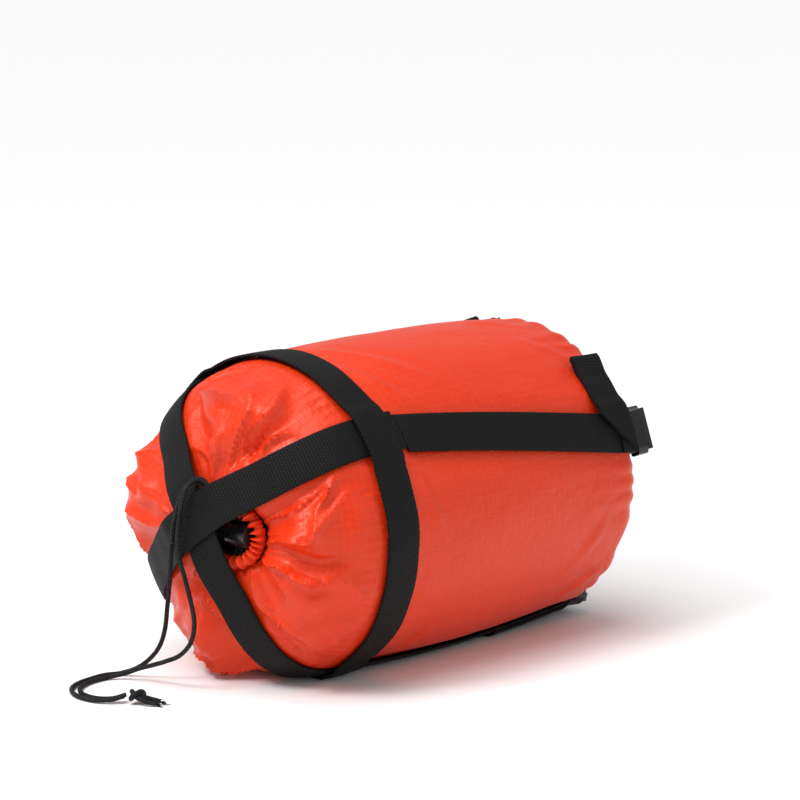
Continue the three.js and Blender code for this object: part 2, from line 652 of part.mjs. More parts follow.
for (const strap of STRAPS) {
  const frame = lockFrame(strap);
  add(`side_run_${strap.name}`, alongSack(strap, HOOP_X + 1 + STUB, RUN_END, 0, runFloor), COLOUR.webbing);
  const lock = add(`ladder_lock_${strap.name}`, ladderLock(), COLOUR.moulding);
  lock.applyMatrix4(new THREE.Matrix4().makeBasis(frame.b.clone().negate(), frame.t, frame.n).setPosition(frame.origin));
  add(`lock_turn_${strap.name}`, lockWrap(frame, strap), COLOUR.webbing);
  add(`anchor_loop_${strap.name}`, anchorLoop(frame, strap), COLOUR.webbing);
  const tail = strap.folded
    ? foldedTail(strap)
    : alongSack(strap, BASE_X - TAIL_LENGTH, RUN_END, 1, () => 0);
  add(`tail_${strap.name}`, tail, COLOUR.webbing);
}
add('base_strap_a', baseStrap(STRAP.near_top.base, STRAP.far_bottom.base + 2 * Math.PI, false), COLOUR.webbing);
add('base_strap_b', baseStrap(STRAP.near_bottom.base, STRAP.far_top.base, true), COLOUR.webbing);

add('channel_cord', channelCord(), COLOUR.cord);
add('cord_lock_body', cordLockBody(), COLOUR.moulding);
add('cord_lock_plunger', cordLockPlunger(), COLOUR.moulding);
add('cord_lock_spring', cordLockSpring(), COLOUR.spring);
add('drawcord_left', cordAlong(STRAND_LEFT, 54), COLOUR.cord);
add('drawcord_right', cordAlong(STRAND_RIGHT, 56), COLOUR.cord);
add('drawcord_knot', knot(), COLOUR.cord);

// The origin is the middle of the underside of everything but the free cord.
const solidPart = new THREE.Box3();
for (const mesh of pieces.children) {
  if (!mesh.name.startsWith('drawcord')) solidPart.expandByObject(mesh, true);
}
const middle = solidPart.getCenter(new THREE.Vector3());
pieces.position.set(-middle.x, -middle.y, -solidPart.min.z);

const sack = new THREE.Group();
sack.add(pieces);
export default sack;
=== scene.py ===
import logging
import math
from dataclasses import dataclass, field
from enum import Enum
from typing import Callable, Sequence

import bpy
import numpy as np
from mathutils import Matrix, Vector, noise


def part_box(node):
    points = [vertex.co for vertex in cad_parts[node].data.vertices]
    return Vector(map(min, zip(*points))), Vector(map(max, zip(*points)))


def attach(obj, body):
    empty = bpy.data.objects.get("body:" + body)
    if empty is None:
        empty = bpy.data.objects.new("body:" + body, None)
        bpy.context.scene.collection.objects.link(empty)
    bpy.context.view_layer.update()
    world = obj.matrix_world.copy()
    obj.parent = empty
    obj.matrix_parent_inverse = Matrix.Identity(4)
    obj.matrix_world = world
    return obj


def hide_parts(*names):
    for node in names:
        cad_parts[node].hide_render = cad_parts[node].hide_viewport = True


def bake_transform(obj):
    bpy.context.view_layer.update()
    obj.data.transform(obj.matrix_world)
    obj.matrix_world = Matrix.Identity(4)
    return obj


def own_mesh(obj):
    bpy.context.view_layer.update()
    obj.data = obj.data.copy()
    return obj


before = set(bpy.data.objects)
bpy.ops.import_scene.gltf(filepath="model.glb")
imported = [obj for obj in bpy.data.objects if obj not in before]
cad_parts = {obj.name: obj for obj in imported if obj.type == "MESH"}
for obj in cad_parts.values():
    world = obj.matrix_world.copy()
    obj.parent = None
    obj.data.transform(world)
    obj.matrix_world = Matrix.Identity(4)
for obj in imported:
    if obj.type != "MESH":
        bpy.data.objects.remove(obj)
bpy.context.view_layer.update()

MM = 0.001

logging.basicConfig(level=logging.INFO, format="%(name)s: %(message)s")
log = logging.getLogger("sack")

Array = np.ndarray


# ---- shader expressions ----------------------------------------------------------------------------------


class Signal:
    """One output socket, with the arithmetic that shaders need written as Python operators."""

    def __init__(self, graph: "Graph", socket: bpy.types.NodeSocket) -> None:
        """Wraps a socket.

        Args:
            graph: the graph that the socket belongs to.
            socket: the output socket.
        """
        self.graph = graph
        self.socket = socket

    def math(self, operation: str, *others: "Signal | float") -> "Signal":
        """Adds a Math node.

        Args:
            operation: the Math node's operation.
            others: the second and third values.

        Returns:
            The node's result.
        """
        inputs = dict(enumerate((self, *others)))
        return self.graph.signal("ShaderNodeMath", {"operation": operation}, inputs)

    def __add__(self, other: "Signal | float") -> "Signal":
        """Adds two signals."""
        return self.math("ADD", other)

    __radd__ = __add__

    def __mul__(self, other: "Signal | float") -> "Signal":
        """Multiplies two signals."""
        return self.math("MULTIPLY", other)

    __rmul__ = __mul__

    def __sub__(self, other: "Signal | float") -> "Signal":
        """Subtracts a signal from this one."""
        return self.math("SUBTRACT", other)

    def __rsub__(self, other: float) -> "Signal":
        """Subtracts this signal from a number."""
        return self.math("MULTIPLY", -1.0) + other

    def __truediv__(self, other: "Signal | float") -> "Signal":
        """Divides by a signal or number."""
        return self.math("DIVIDE", other)

    def ramp(self, low: float, high: float) -> "Signal":
        """A smooth step from 0 at low to 1 at high."""
        settings = {"interpolation_type": "SMOOTHSTEP"}
        return self.graph.signal("ShaderNodeMapRange", settings, {0: self, 1: low, 2: high})


class Graph:
    """The node tree of one material, with a Principled shader."""

    def __init__(self, name: str, **constants: float | tuple) -> None:
        """Starts a material.

        Args:
            name: the material's name.
            constants: values for the shader's sockets that are the same all over, by socket name with
                underscores for spaces.
        """
        self.material = bpy.data.materials.new(name)
        self.material.use_nodes = True
        self.nodes = self.material.node_tree.nodes
        self.links = self.material.node_tree.links
        self.shader = next(n for n in self.nodes if n.type == "BSDF_PRINCIPLED")
        for socket, value in constants.items():
            self.shader.inputs[socket.replace("_", " ")].default_value = value

    def node(self, kind: str, settings: dict | None = None, inputs: dict | None = None) -> bpy.types.Node:
        """Adds a node.

        Args:
            kind: the node's type.
            settings: attributes to set first. A ramp's are stops, a list of (position, colour).
            inputs: values or signals for its sockets, by name or number.

        Returns:
            The node.
        """
        made = self.nodes.new(kind)
        for key, value in (settings or {}).items():
            if key == "stops":
                while len(made.color_ramp.elements) < len(value):
                    made.color_ramp.elements.new(1.0)
                for element, (position, colour) in zip(made.color_ramp.elements, value):
                    element.position, element.color = position, colour
            else:
                setattr(made, key, value)
        for key, value in (inputs or {}).items():
            if isinstance(value, Signal):
                self.links.new(value.socket, made.inputs[key])
            else:
                made.inputs[key].default_value = value
        return made

    def signal(
        self, kind: str, settings: dict | None = None, inputs: dict | None = None, out: int | str = 0
    ) -> Signal:
        """Adds a node and takes one of its outputs.

        Args:
            kind: the node's type.
            settings: attributes to set first.
            inputs: values or signals for its sockets.
            out: the output's name or number.

        Returns:
            The output.
        """
        return Signal(self, self.node(kind, settings, inputs).outputs[out])

    def uv(self) -> tuple[Signal, Signal]:
        """The cloth's own coordinates, in metres across and along."""
        place = self.signal("ShaderNodeUVMap", {"uv_map": "cloth"})
        split = self.node("ShaderNodeSeparateXYZ", None, {0: place})
        return Signal(self, split.outputs[0]), Signal(self, split.outputs[1])

    def place(self) -> Signal:
        """The point in the sack's frame, in metres."""
        return self.signal("ShaderNodeTexCoord", None, None, "Object")

    def grain(self, scale: float, detail: float = 3.0, rough: float = 0.55) -> Signal:
        """Noise over the sack's frame.

        Args:
            scale: cells per metre.
            detail: octaves.
            rough: how strong the finer octaves are.

        Returns:
            A value from 0 to 1.
        """
        inputs = {"Vector": self.place(), "Scale": scale, "Detail": detail, "Roughness": rough}
        return self.signal("ShaderNodeTexNoise", None, inputs, "Fac")

    def blend(self, factor: Signal, low: Signal | tuple, high: tuple) -> Signal:
        """A colour from low to high by factor."""
        return self.signal("ShaderNodeMix", {"data_type": "RGBA"}, {0: factor, 6: low, 7: high}, 2)

    def finish(self, colour: Signal, roughness: Signal, height: Signal, depth: float) -> bpy.types.Material:
        """Feeds the shader.

        Args:
            colour: base colour.
            roughness: roughness.
            height: bump height from 0 to 1.
            depth: how deep a height of 1 is, in metres.

        Returns:
            The material.
        """
        inputs = {"Strength": 1.0, "Distance": depth, "Height": height}
        bump = self.signal("ShaderNodeBump", None, inputs, "Normal")
        for name, value in (("Base Color", colour), ("Roughness", roughness), ("Normal", bump)):
            self.links.new(value.socket, self.shader.inputs[name])
        return self.material


@dataclass(frozen=True)
class RipstopNylon:
    """Thin satin nylon with a square grid of thicker threads; its colour is painted between a shaded and a
    lit copy of the orange.
    """

    name: str = "ripstop_nylon"
    # Painted shade and painted light: the first colour below is the orange in shade, the second the orange in
    # light.
    painted_shade_tone: tuple = (0.58, 0.017, 0.0015, 1)
    painted_lit_tone: tuple = (0.78, 0.043, 0.005, 1)
    thread: tuple = (0.86, 0.075, 0.015, 1)
    grid: float = 5 * MM
    line: float = 0.12
    rough: float = 0.36
    gloss: tuple = (1.0, 0.72, 0.58, 1)

    def build(self) -> bpy.types.Material:
        """Makes the material."""
        g = Graph(self.name, Specular_IOR_Level=0.5, Specular_Tint=self.gloss)
        lines = []
        for side in g.uv():
            off = ((side / self.grid).math("FRACT") - 0.5).math("ABSOLUTE") * 2
            lines.append(off.ramp(1 - 2 * self.line, 1 - 0.4 * self.line))
        mesh = lines[0].math("MAXIMUM", lines[1])
        crinkle_and_shade = g.grain(150.0, 4.0, 0.62)
        drift = g.grain(11.0, 2.0)
        # Painted shade and light: darker in the hollows of the crinkle bump and lighter on its crests; the
        # slow drift noise varies the mix at random.
        base = g.blend(drift * 0.55 + crinkle_and_shade * 0.45, self.painted_shade_tone, self.painted_lit_tone)
        colour = g.blend(mesh * 0.16, base, self.thread)
        roughness = self.rough + mesh * 0.1 + (crinkle_and_shade - 0.5) * 0.14
        return g.finish(colour, roughness, mesh * 0.06 + crinkle_and_shade * 0.94, 0.9 * MM)


@dataclass(frozen=True)
class Webbing:
    """Woven black webbing: short raised floats in staggered rows, with painted highlights on their crowns."""

    name: str
    pick: float
    rib: float
    # Painted highlight: the second colour below lightens the crowns of the floats; the first is the black
    # between them.
    dark: tuple = (0.001, 0.001, 0.001, 1)
    light: tuple = (0.012, 0.012, 0.0125, 1)

    def build(self) -> bpy.types.Material:
        """Makes the material."""
        g = Graph(self.name, Specular_IOR_Level=0.16)
        across, along = g.uv()
        row = (along / self.pick).math("FLOOR")
        stagger = (row * 0.5).math("FRACT")
        bump_across = ((across / self.rib + stagger) * math.pi).math("SINE").math("ABSOLUTE")
        bump_along = ((along / self.pick) * math.pi).math("SINE").math("ABSOLUTE")
        floats = (bump_across * bump_along).math("POWER", 0.7)
        fuzz = g.grain(900.0, 2.0)
        highlight_patches = g.grain(35.0, 2.0)
        # Painted highlight and shade: lighter on the crowns of the raised floats and darker between them,
        # more strongly in random patches.
        colour = g.blend(floats.ramp(0.25, 1.0) * (0.35 + highlight_patches * 0.65), self.dark, self.light)
        roughness = 0.72 - floats * 0.2 + (fuzz - 0.5) * 0.2
        return g.finish(colour, roughness, floats * 0.85 + fuzz * 0.15, 0.35 * MM)


@dataclass(frozen=True)
class BraidedCord:
    """Braided black cord with a pale fleck in each crossing."""

    name: str = "braided_cord"
    strands: int = 6
    pitch: float = 2.6 * MM
    dark: tuple = (0.006, 0.006, 0.007, 1)
    fleck: tuple = (0.12, 0.12, 0.125, 1)

    def build(self) -> bpy.types.Material:
        """Makes the material."""
        g = Graph(self.name, Specular_IOR_Level=0.2)
        around, along = g.uv()
        turns, step = around * self.strands, along / self.pitch
        waves = [((turns + step * way) * (2 * math.pi)).math("SINE") for way in (-1, 1)]
        diamonds = waves[0] * waves[1] * 0.5 + 0.5
        specks = g.grain(1400.0, 1.0)
        mask = diamonds.ramp(0.62, 1.0) * specks.ramp(0.42, 0.62)
        colour = g.blend(mask, self.dark, self.fleck)
        return g.finish(colour, 0.62 + specks * 0.2, diamonds, 0.25 * MM)


@dataclass(frozen=True)
class MouldedPlastic:
    """Glossy black moulded plastic with faint flow marks and scuffs."""

    name: str = "moulded_plastic"
    base: tuple = (0.008, 0.008, 0.009, 1)
    scuffed: tuple = (0.022, 0.022, 0.024, 1)

    def build(self) -> bpy.types.Material:
        """Makes the material."""
        g = Graph(self.name, Specular_IOR_Level=0.55)
        flow = g.grain(120.0, 3.0)
        scuff = g.grain(700.0, 5.0, 0.7).ramp(0.55, 0.75)
        colour = g.blend(scuff * 0.6, self.base, self.scuffed)
        return g.finish(colour, 0.2 + flow * 0.12 + scuff * 0.16, flow * 0.7 + scuff * 0.3, 0.06 * MM)


@dataclass(frozen=True)
class KnitCloth:
    """Grey-blue knitted cloth."""

    name: str = "packed_cloth"
    dark: tuple = (0.05, 0.055, 0.075, 1)
    light: tuple = (0.17, 0.19, 0.24, 1)
    loop: float = 1.1 * MM

    def build(self) -> bpy.types.Material:
        """Makes the material."""
        g = Graph(self.name, Sheen_Weight=0.3)
        inputs = {"Vector": g.place(), "Scale": 1 / self.loop}
        cells = g.signal("ShaderNodeTexVoronoi", {"feature": "F1"}, inputs, "Distance")
        shade = g.grain(60.0, 3.0)
        colour = g.blend(shade.ramp(0.25, 0.75) * 0.7 + cells * 0.3, self.dark, self.light)
        return g.finish(colour, 0.85 + cells * 0.1, 1 - cells, 0.3 * MM)


@dataclass(frozen=True)
class SpringWire:
    """Bright drawn wire."""

    name: str = "spring_wire"

    def build(self) -> bpy.types.Material:
        """Makes the material."""
        g = Graph(self.name, Metallic=1.0)
        draw = g.grain(2500.0, 2.0)
        colour = g.blend(draw, (0.46, 0.46, 0.47, 1), (0.68, 0.68, 0.7, 1))
        return g.finish(colour, 0.22 + draw * 0.15, draw, 0.02 * MM)


class Finish(Enum):
    """The sack's finishes."""

    SHELL = RipstopNylon()
    RUN_WEB = Webbing("run_webbing", pick=1.9 * MM, rib=1.55 * MM)
    HOOP_WEB = Webbing("hoop_webbing", pick=1.5 * MM, rib=2.1 * MM)
    CORD = BraidedCord()
    MOULDING = MouldedPlastic()
    CLOTH = KnitCloth()
    SPRING = SpringWire()

    def material(self) -> bpy.types.Material:
        """The finish's material, made when it is first asked for."""
        return bpy.data.materials.get(self.value.name) or self.value.build()


# ---- modelling helpers -----------------------------------------------------------------------------------


def ease(x: Array | float) -> Array:
    """A smooth step from 0 to 1."""
    x = np.clip(x, 0, 1)
    return x * x * (3 - 2 * x)


def lerp(a: float, b: float, t: Array | float) -> Array:
    """A value from a to b."""
    return a + (b - a) * t


def alone(piece: bpy.types.Object) -> bpy.types.Object:
    """Selects one object only and makes it active."""
    bpy.ops.object.select_all(action="DESELECT")
    piece.select_set(True)
    bpy.context.view_layer.objects.active = piece
    return piece


def settle(piece: bpy.types.Object) -> bpy.types.Object:
    """Puts an object's place, turn and scale into its mesh."""
    alone(piece)
    bpy.ops.object.transform_apply(location=True, rotation=True, scale=True)
    return piece


def apply_modifier(piece: bpy.types.Object, kind: str, **values: object) -> bpy.types.Object:
    """Adds a modifier to a piece and applies it.

    Args:
        piece: the piece.
        kind: the modifier's type.
        values: the modifier's settings.

    Returns:
        The piece.
    """
    alone(piece)
    modifier = piece.modifiers.new(kind.title(), kind)
    for key, value in values.items():
        setattr(modifier, key, value)
    bpy.ops.object.modifier_apply(modifier=modifier.name)
    return piece


def round_edges(piece: bpy.types.Object, width: float, segments: int, degrees: float) -> bpy.types.Object:
    """Bevels the edges that are sharper than an angle."""
    limit = {"limit_method": "ANGLE", "angle_limit": math.radians(degrees)}
    return apply_modifier(piece, "BEVEL", width=width, segments=segments, **limit)


def recess(piece: bpy.types.Object, cutter: bpy.types.Object) -> bpy.types.Object:
    """Cuts one closed piece out of another, and removes the cutter."""
    apply_modifier(piece, "BOOLEAN", operation="DIFFERENCE", object=cutter, solver="EXACT")
    bpy.data.objects.remove(cutter)
    return piece


def smooth(piece: bpy.types.Object, degrees: float = 40.0) -> bpy.types.Object:
    """Shades a piece smooth, except over sharp edges."""
    alone(piece)
    bpy.ops.object.shade_smooth_by_angle(angle=math.radians(degrees))
    return piece


def cloth_grid(name: str, points: Array, flat: Array) -> bpy.types.Object:
    """A sheet modelled from a flat grid, laid onto rows of points, with its flat cloth coordinates.

    Args:
        name: the piece's name.
        points: (rows, columns, 3) places.
        flat: (rows, columns, 2) cloth coordinates, in metres across and along.

    Returns:
        The sheet, one layer thick.
    """
    rows, columns = points.shape[:2]
    bpy.ops.object.select_all(action="DESELECT")
    bpy.ops.mesh.primitive_grid_add(x_subdivisions=columns - 1, y_subdivisions=rows - 1, size=1)
    piece = bpy.context.object
    piece.name = name
    mesh = piece.data
    co = np.empty(len(mesh.vertices) * 3)
    mesh.vertices.foreach_get("co", co)
    co = co.reshape(-1, 3)
    column = np.rint((co[:, 0] + 0.5) * (columns - 1)).astype(int)
    row = np.rint((co[:, 1] + 0.5) * (rows - 1)).astype(int)
    mesh.vertices.foreach_set("co", points[row, column].ravel())
    layer = mesh.uv_layers.active
    layer.name = "cloth"
    index = np.empty(len(mesh.loops), int)
    mesh.loops.foreach_get("vertex_index", index)
    layer.data.foreach_set("uv", flat[row[index], column[index]].ravel())
    mesh.update()
    return piece


def weld(piece: bpy.types.Object, distance: float = 0.01 * MM) -> bpy.types.Object:
    """Merges a piece's doubled points, as along a seam."""
    alone(piece)
    bpy.ops.object.mode_set(mode="EDIT")
    bpy.ops.mesh.select_all(action="SELECT")
    bpy.ops.mesh.remove_doubles(threshold=distance)
    bpy.ops.object.mode_set(mode="OBJECT")
    return piece


def face_outwards(piece: bpy.types.Object) -> bpy.types.Object:
    """Turns a closed piece's faces outwards."""
    alone(piece)
    bpy.ops.object.mode_set(mode="EDIT")
    bpy.ops.mesh.select_all(action="SELECT")
    bpy.ops.mesh.normals_make_consistent(inside=False)
    bpy.ops.object.mode_set(mode="OBJECT")
    return piece


def turn_over(piece: bpy.types.Object) -> None:
    """Turns every face of a sheet the other way."""
    alone(piece)
    bpy.ops.object.mode_set(mode="EDIT")
    bpy.ops.mesh.select_all(action="SELECT")
    bpy.ops.mesh.flip_normals()
    bpy.ops.object.mode_set(mode="OBJECT")


def arc_lengths(points: Array) -> Array:
    """Distance along a line of points, from its first."""
    return np.concatenate([[0.0], np.cumsum(np.linalg.norm(np.diff(points, axis=0), axis=1))])


def catmull(points: Sequence[Sequence[float]], spacing: float) -> Array:
    """A smooth line through points, with the centripetal spacing that keeps it free of loops.

    Args:
        points: the points, in 2 or 3 dimensions.
        spacing: distance between the samples.

    Returns:
        Samples along the line.
    """
    p = np.array(points, float)
    p = np.vstack([2 * p[0] - p[1], p, 2 * p[-1] - p[-2]])
    line = []
    for i in range(1, len(p) - 2):
        chords = np.sqrt(np.linalg.norm(np.diff(p[i - 1 : i + 3], axis=0), axis=1))
        knots = np.concatenate([[0.0], np.cumsum(chords)])
        count = max(2, int(np.linalg.norm(p[i + 1] - p[i]) / spacing))
        t = np.linspace(knots[1], knots[2], count, endpoint=False)[:, None]

        def mid(a: Array, b: Array, ta: float, tb: float) -> Array:
            """A point between a at ta and b at tb."""
            return (tb - t) / (tb - ta) * a + (t - ta) / (tb - ta) * b

        k0, k1, k2, k3 = knots
        a1, a2 = mid(p[i - 1], p[i], k0, k1), mid(p[i], p[i + 1], k1, k2)
        a3 = mid(p[i + 1], p[i + 2], k2, k3)
        b1, b2 = mid(a1, a2, k0, k2), mid(a2, a3, k1, k3)
        line.append(mid(b1, b2, k1, k2))
    return np.vstack([*line, p[-2:-1]])


def tube_along(
    name: str, line: Array, radius: Array | float, sides: int = 12, closed: bool = False
) -> bpy.types.Object:
    """A round tube along a line, with cloth coordinates round it (0 to 1) and along it (metres).

    Args:
        name: the piece's name.
        line: the centreline.
        radius: one radius, or one for each point.
        sides: points round it.
        closed: whether its ends meet.

    Returns:
        The tube.
    """
    way = np.gradient(line, axis=0)
    way /= np.linalg.norm(way, axis=1, keepdims=True)
    side = np.zeros_like(line)
    start = Vector(way[0]).orthogonal().normalized()
    for i, direction in enumerate(way):
        start = (start - Vector(direction) * start.dot(Vector(direction))).normalized()
        side[i] = start
    up = np.cross(way, side)
    turn = np.linspace(0, 2 * math.pi, sides + 1)
    radius = np.broadcast_to(radius, len(line))[:, None, None]
    ring = np.cos(turn)[None, :, None] * side[:, None] + np.sin(turn)[None, :, None] * up[:, None]
    points = line[:, None] + radius * ring
    if closed:
        points[-1] = points[0]
    else:
        first, last = (line[end, None].repeat(sides + 1, 1) for end in (slice(0, 1), slice(-1, None)))
        points = np.concatenate([first, points, last])
    along = arc_lengths(points[:, 0])
    flat = np.stack(np.broadcast_arrays(turn[None] / (2 * math.pi), along[:, None]), axis=2)
    piece = weld(cloth_grid(name, points, flat))
    return smooth(face_outwards(piece), 60)


def webbing_strip(name: str, points: Array, thickness: float, closed: bool = False) -> bpy.types.Object:
    """A strip of webbing from the places of its middle layer.

    Args:
        name: the piece's name.
        points: (rows, columns, 3) places, with columns across the strip.
        thickness: the webbing's thickness.
        closed: whether the last row meets the first.

    Returns:
        The strip, as thick as the webbing, with soft edges.
    """
    across = arc_lengths(points[0 if closed else len(points) // 2])
    along = arc_lengths(points[:, points.shape[1] // 2])
    flat = np.stack(np.broadcast_arrays(across[None], along[:, None]), axis=2)
    piece = cloth_grid(name, points, flat)
    if closed:
        weld(piece)
    apply_modifier(piece, "SOLIDIFY", thickness=thickness, offset=0, use_even_offset=False)
    face_outwards(piece)
    round_edges(piece, 0.28 * thickness, 2, 60)
    return smooth(piece, 50)


def dress(piece: bpy.types.Object, finish: Finish, *nodes: str) -> bpy.types.Object:
    """Gives a piece its finish and hides the CAD nodes that it stands for."""
    piece.data.materials.clear()
    piece.data.materials.append(finish.material())
    if nodes:
        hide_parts(*nodes)
    log.info("%s: %d faces, %s", piece.name, len(piece.data.polygons), finish.value.name)
    return piece


# ---- the sack's form -------------------------------------------------------------------------------------


@dataclass(frozen=True)
class RoundedEnd:
    """A rounded end: how far its rim is along the sack, its radius, its depth and how square it is."""

    x: float
    sign: int
    radius: float
    depth: float
    power: float

    def shoulder(self, theta: Array | float) -> Array:
        """How far from the axis the end is at theta: 0 at its rim, a quarter turn at its middle."""
        return self.radius * np.maximum(np.cos(theta), 0) ** (2 / self.power)


@dataclass(frozen=True)
class Strap:
    """A strap's angle round the sack at the hoop and at the base, and whether its tail is folded upwards."""

    name: str
    hoop: float
    base: float
    folded: bool


class Form:
    """The sack's surface, and where its straps run."""

    radius = 97.5 * MM
    base_radius = 95 * MM
    rise = 2 * MM
    belly = 4 * MM
    length = 200 * MM
    flat = 22 * MM
    gap = 0.3 * MM
    web_width = 25 * MM
    web = 1.6 * MM
    hoop_lean = 4 * MM
    puff = 11 * MM
    cross_centre = (-5 * MM, 9 * MM)
    cross_raise = 5.5 * MM
    opening = {"y": -22 * MM, "z": 2 * MM, "half_y": 26 * MM, "half_z": 22 * MM, "dip": 6 * MM, "theta": 1.4}
    panel_rim = math.radians(56)
    run_end = math.radians(18)
    loop_end = math.radians(62)
    lock_theta = math.radians(32)
    tail_length = 62 * MM
    straps = (
        Strap("near_top", math.radians(38), math.radians(20), True),
        Strap("far_top", math.radians(134), math.radians(122), True),
        Strap("far_bottom", math.radians(-146), math.radians(-156), False),
        Strap("near_bottom", math.radians(-70), math.radians(-74), False),
    )

    def __init__(self) -> None:
        """Takes the sack's place from the frame."""
        low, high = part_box("mouth_hoop")
        self.hoop_x = (low.x + high.x) / 2
        self.base_x = self.hoop_x + self.length
        self.axis_z = math.sqrt(self.radius**2 - self.flat**2)
        self.layer = self.web + self.gap
        self.mouth = RoundedEnd(self.hoop_x, -1, self.radius, 74 * MM, 2.2)
        self.base = RoundedEnd(self.base_x, 1, self.base_radius, 34 * MM, 2.4)
        near_top, far_top, far_bottom, near_bottom = self.straps
        self.cross_a = (near_top.hoop, far_bottom.hoop + 2 * math.pi)
        self.cross_b = (near_bottom.hoop, far_top.hoop)
        q = np.linspace(1, -1, 97)
        both = (self.cross_a, self.cross_b)
        self.crossings = np.vstack([self.cross_plan(q, ends)["middle"] for ends in both])

    def along(self, x: Array) -> Array:
        """Share of the way from the hoop to the base."""
        return np.clip((x - self.hoop_x) / self.length, 0, 1)

    def strap_angle(self, strap: Strap, x: Array) -> Array:
        """A strap's angle round the sack at x."""
        return lerp(strap.hoop, strap.base, self.along(x))

    def tube_radius(self, x: Array) -> Array:
        """The tube's radius at x."""
        s = self.along(x)
        return lerp(self.radius, self.base_radius, s) + self.belly * np.sin(math.pi * s)

    def polar(self, x: Array, r: Array, phi: Array, floor: Array | float = 0.0, soft: float = 0.0) -> Array:
        """Points at radius r and angle phi, no lower than floor, and rounded by soft where they meet it."""
        z = self.axis_z + self.rise * self.along(x) + r * np.sin(phi)
        z = 0.5 * (z + floor + np.sqrt((z - floor) ** 2 + soft**2))
        return np.stack(np.broadcast_arrays(x, -r * np.cos(phi), z), axis=-1)

    def on_tube(
        self, x: Array, phi: Array, h: Array | float = 0.0, floor: Array | float = 0.0, soft: float = 0.0
    ) -> Array:
        """Points h outside the tube."""
        return self.polar(x, self.tube_radius(x) + h, phi, floor, soft)

    def on_end(
        self, end: RoundedEnd, rho: Array, phi: Array, h: Array | float = 0.0, floor: Array | float = 0.0,
        soft: float = 0.0,
    ) -> Array:
        """Points h outside a rounded end, rho from the axis."""
        u = np.minimum(rho / end.radius, 1)
        d = (1 - u**end.power) ** (1 / end.power)
        slope_r, slope_x = u ** (end.power - 1) / end.radius, d ** (end.power - 1) / end.depth
        size = np.hypot(slope_r, slope_x)
        x = end.x + end.sign * (end.depth * d + h * slope_x / size)
        return self.polar(x, u * end.radius + h * slope_r / size, phi, floor, soft)

    def near_hoop(self, x: Array, phi: Array) -> Array:
        """1 over the hoop and 0 away from it."""
        centre = self.hoop_x - self.hoop_lean * np.sin(phi)
        return 1 - ease((np.abs(x - centre) - 19 * MM) / (8 * MM))

    def under_tail(self, x: Array) -> Array:
        """1 where the straight tails lie and 0 before them."""
        return ease((x - (self.base_x - self.tail_length - 12 * MM)) / (8 * MM))

    def run_floor(self, x: Array, phi: Array) -> Array:
        """Height that the runs under the sack are lifted by the webbing below them."""
        return self.layer * (self.near_hoop(x, phi) + self.under_tail(x))

    def shell_floor(self, x: Array, phi: Array) -> Array:
        """Height that the fabric under the sack is lifted by the webbing below it."""
        off = np.abs(phi - self.strap_angle(self.straps[3], x)) * self.radius
        near_run = 1 - ease((off - 25 * MM) / (14 * MM))
        return self.gap / 2 + self.layer * (self.near_hoop(x, phi) + near_run * (1 + self.under_tail(x)))

    def cross_plan(self, q: Array, ends: tuple[float, float]) -> dict[str, Array]:
        """The middle of a strap over the mouth.

        Args:
            q: 1 at one end, 0 near the crossing and -1 at the other.
            ends: the strap's angles at the hoop.

        Returns:
            Its distance from the axis before it is pulled over, its middle (y, z) and its side direction.
        """
        q = np.asarray(q, float)
        rho = np.sign(q) * self.mouth.shoulder((1 - np.abs(q)) * (math.pi / 2))
        phi = lerp(ends[1] - math.pi, ends[0], ease((q + 1) / 2))
        pull = (1 - (rho / self.radius) ** 2) ** 2
        centre_y, centre_z = self.cross_centre
        y, z = -rho * np.cos(phi) + pull * centre_y, rho * np.sin(phi) + pull * centre_z
        middle = np.stack([y, z], axis=-1)
        return {"reach": np.abs(rho), "middle": middle, "side": np.stack([np.sin(phi), np.cos(phi)], axis=-1)}

    def off_straps(self, y: Array, z: Array) -> Array:
        """Distance from the middle lines of the straps that cross the mouth, in their plan."""
        near = np.full(np.shape(y), np.inf)
        for py, pz in self.crossings:
            near = np.minimum(near, np.hypot(py - y, pz - z))
        return near

    def mouth_plan(self, t: Array, phi: Array) -> tuple[Array, Array, Array]:
        """The gathered mouth's plan (y, z) and how far it is drawn in, for t from the hoop to the opening."""
        o = self.opening
        inner = self.mouth.shoulder(o["theta"])
        rho = self.mouth.shoulder(t * o["theta"])
        share = np.clip((self.radius - rho) / (self.radius - inner), 0, 1)
        drawn = share**1.5
        y = -np.cos(phi) * lerp(self.radius, o["half_y"], share) + drawn * o["y"]
        z = np.sin(phi) * lerp(self.radius, o["half_z"], share) + drawn * o["z"]
        return y, z, share

    def mouth_surface(self, t: Array, phi: Array, h: Array | float = 0.0) -> Array:
        """Points h outside the gathered mouth."""
        y, z, share = self.mouth_plan(t, phi)
        reach = np.minimum(np.hypot(y, z), self.radius)
        clear = ease((self.off_straps(y, z) - 17 * MM) / (22 * MM))
        swell = self.puff * clear * ease((self.radius - reach) / (22 * MM)) * ease((1 - t) * 3)
        dip = self.opening["dip"] * share**12
        floor = self.shell_floor(np.full_like(reach, self.hoop_x), phi) - h
        floor = np.maximum(floor, 0.4 * MM)
        return self.on_end(self.mouth, reach, np.arctan2(z, -y), h + swell - dip, floor, 1.5 * MM)

    def opening_edge(self, phi: Array, inset: Array, depth: Array) -> Array:
        """Points in from the opening's edge by inset, and back from it by the dip and depth."""
        o = self.opening
        y = o["y"] - np.cos(phi) * (o["half_y"] - inset)
        z = o["z"] + np.sin(phi) * (o["half_z"] - inset)
        return self.on_end(self.mouth, np.hypot(y, z), np.arctan2(z, -y), -o["dip"] - depth)


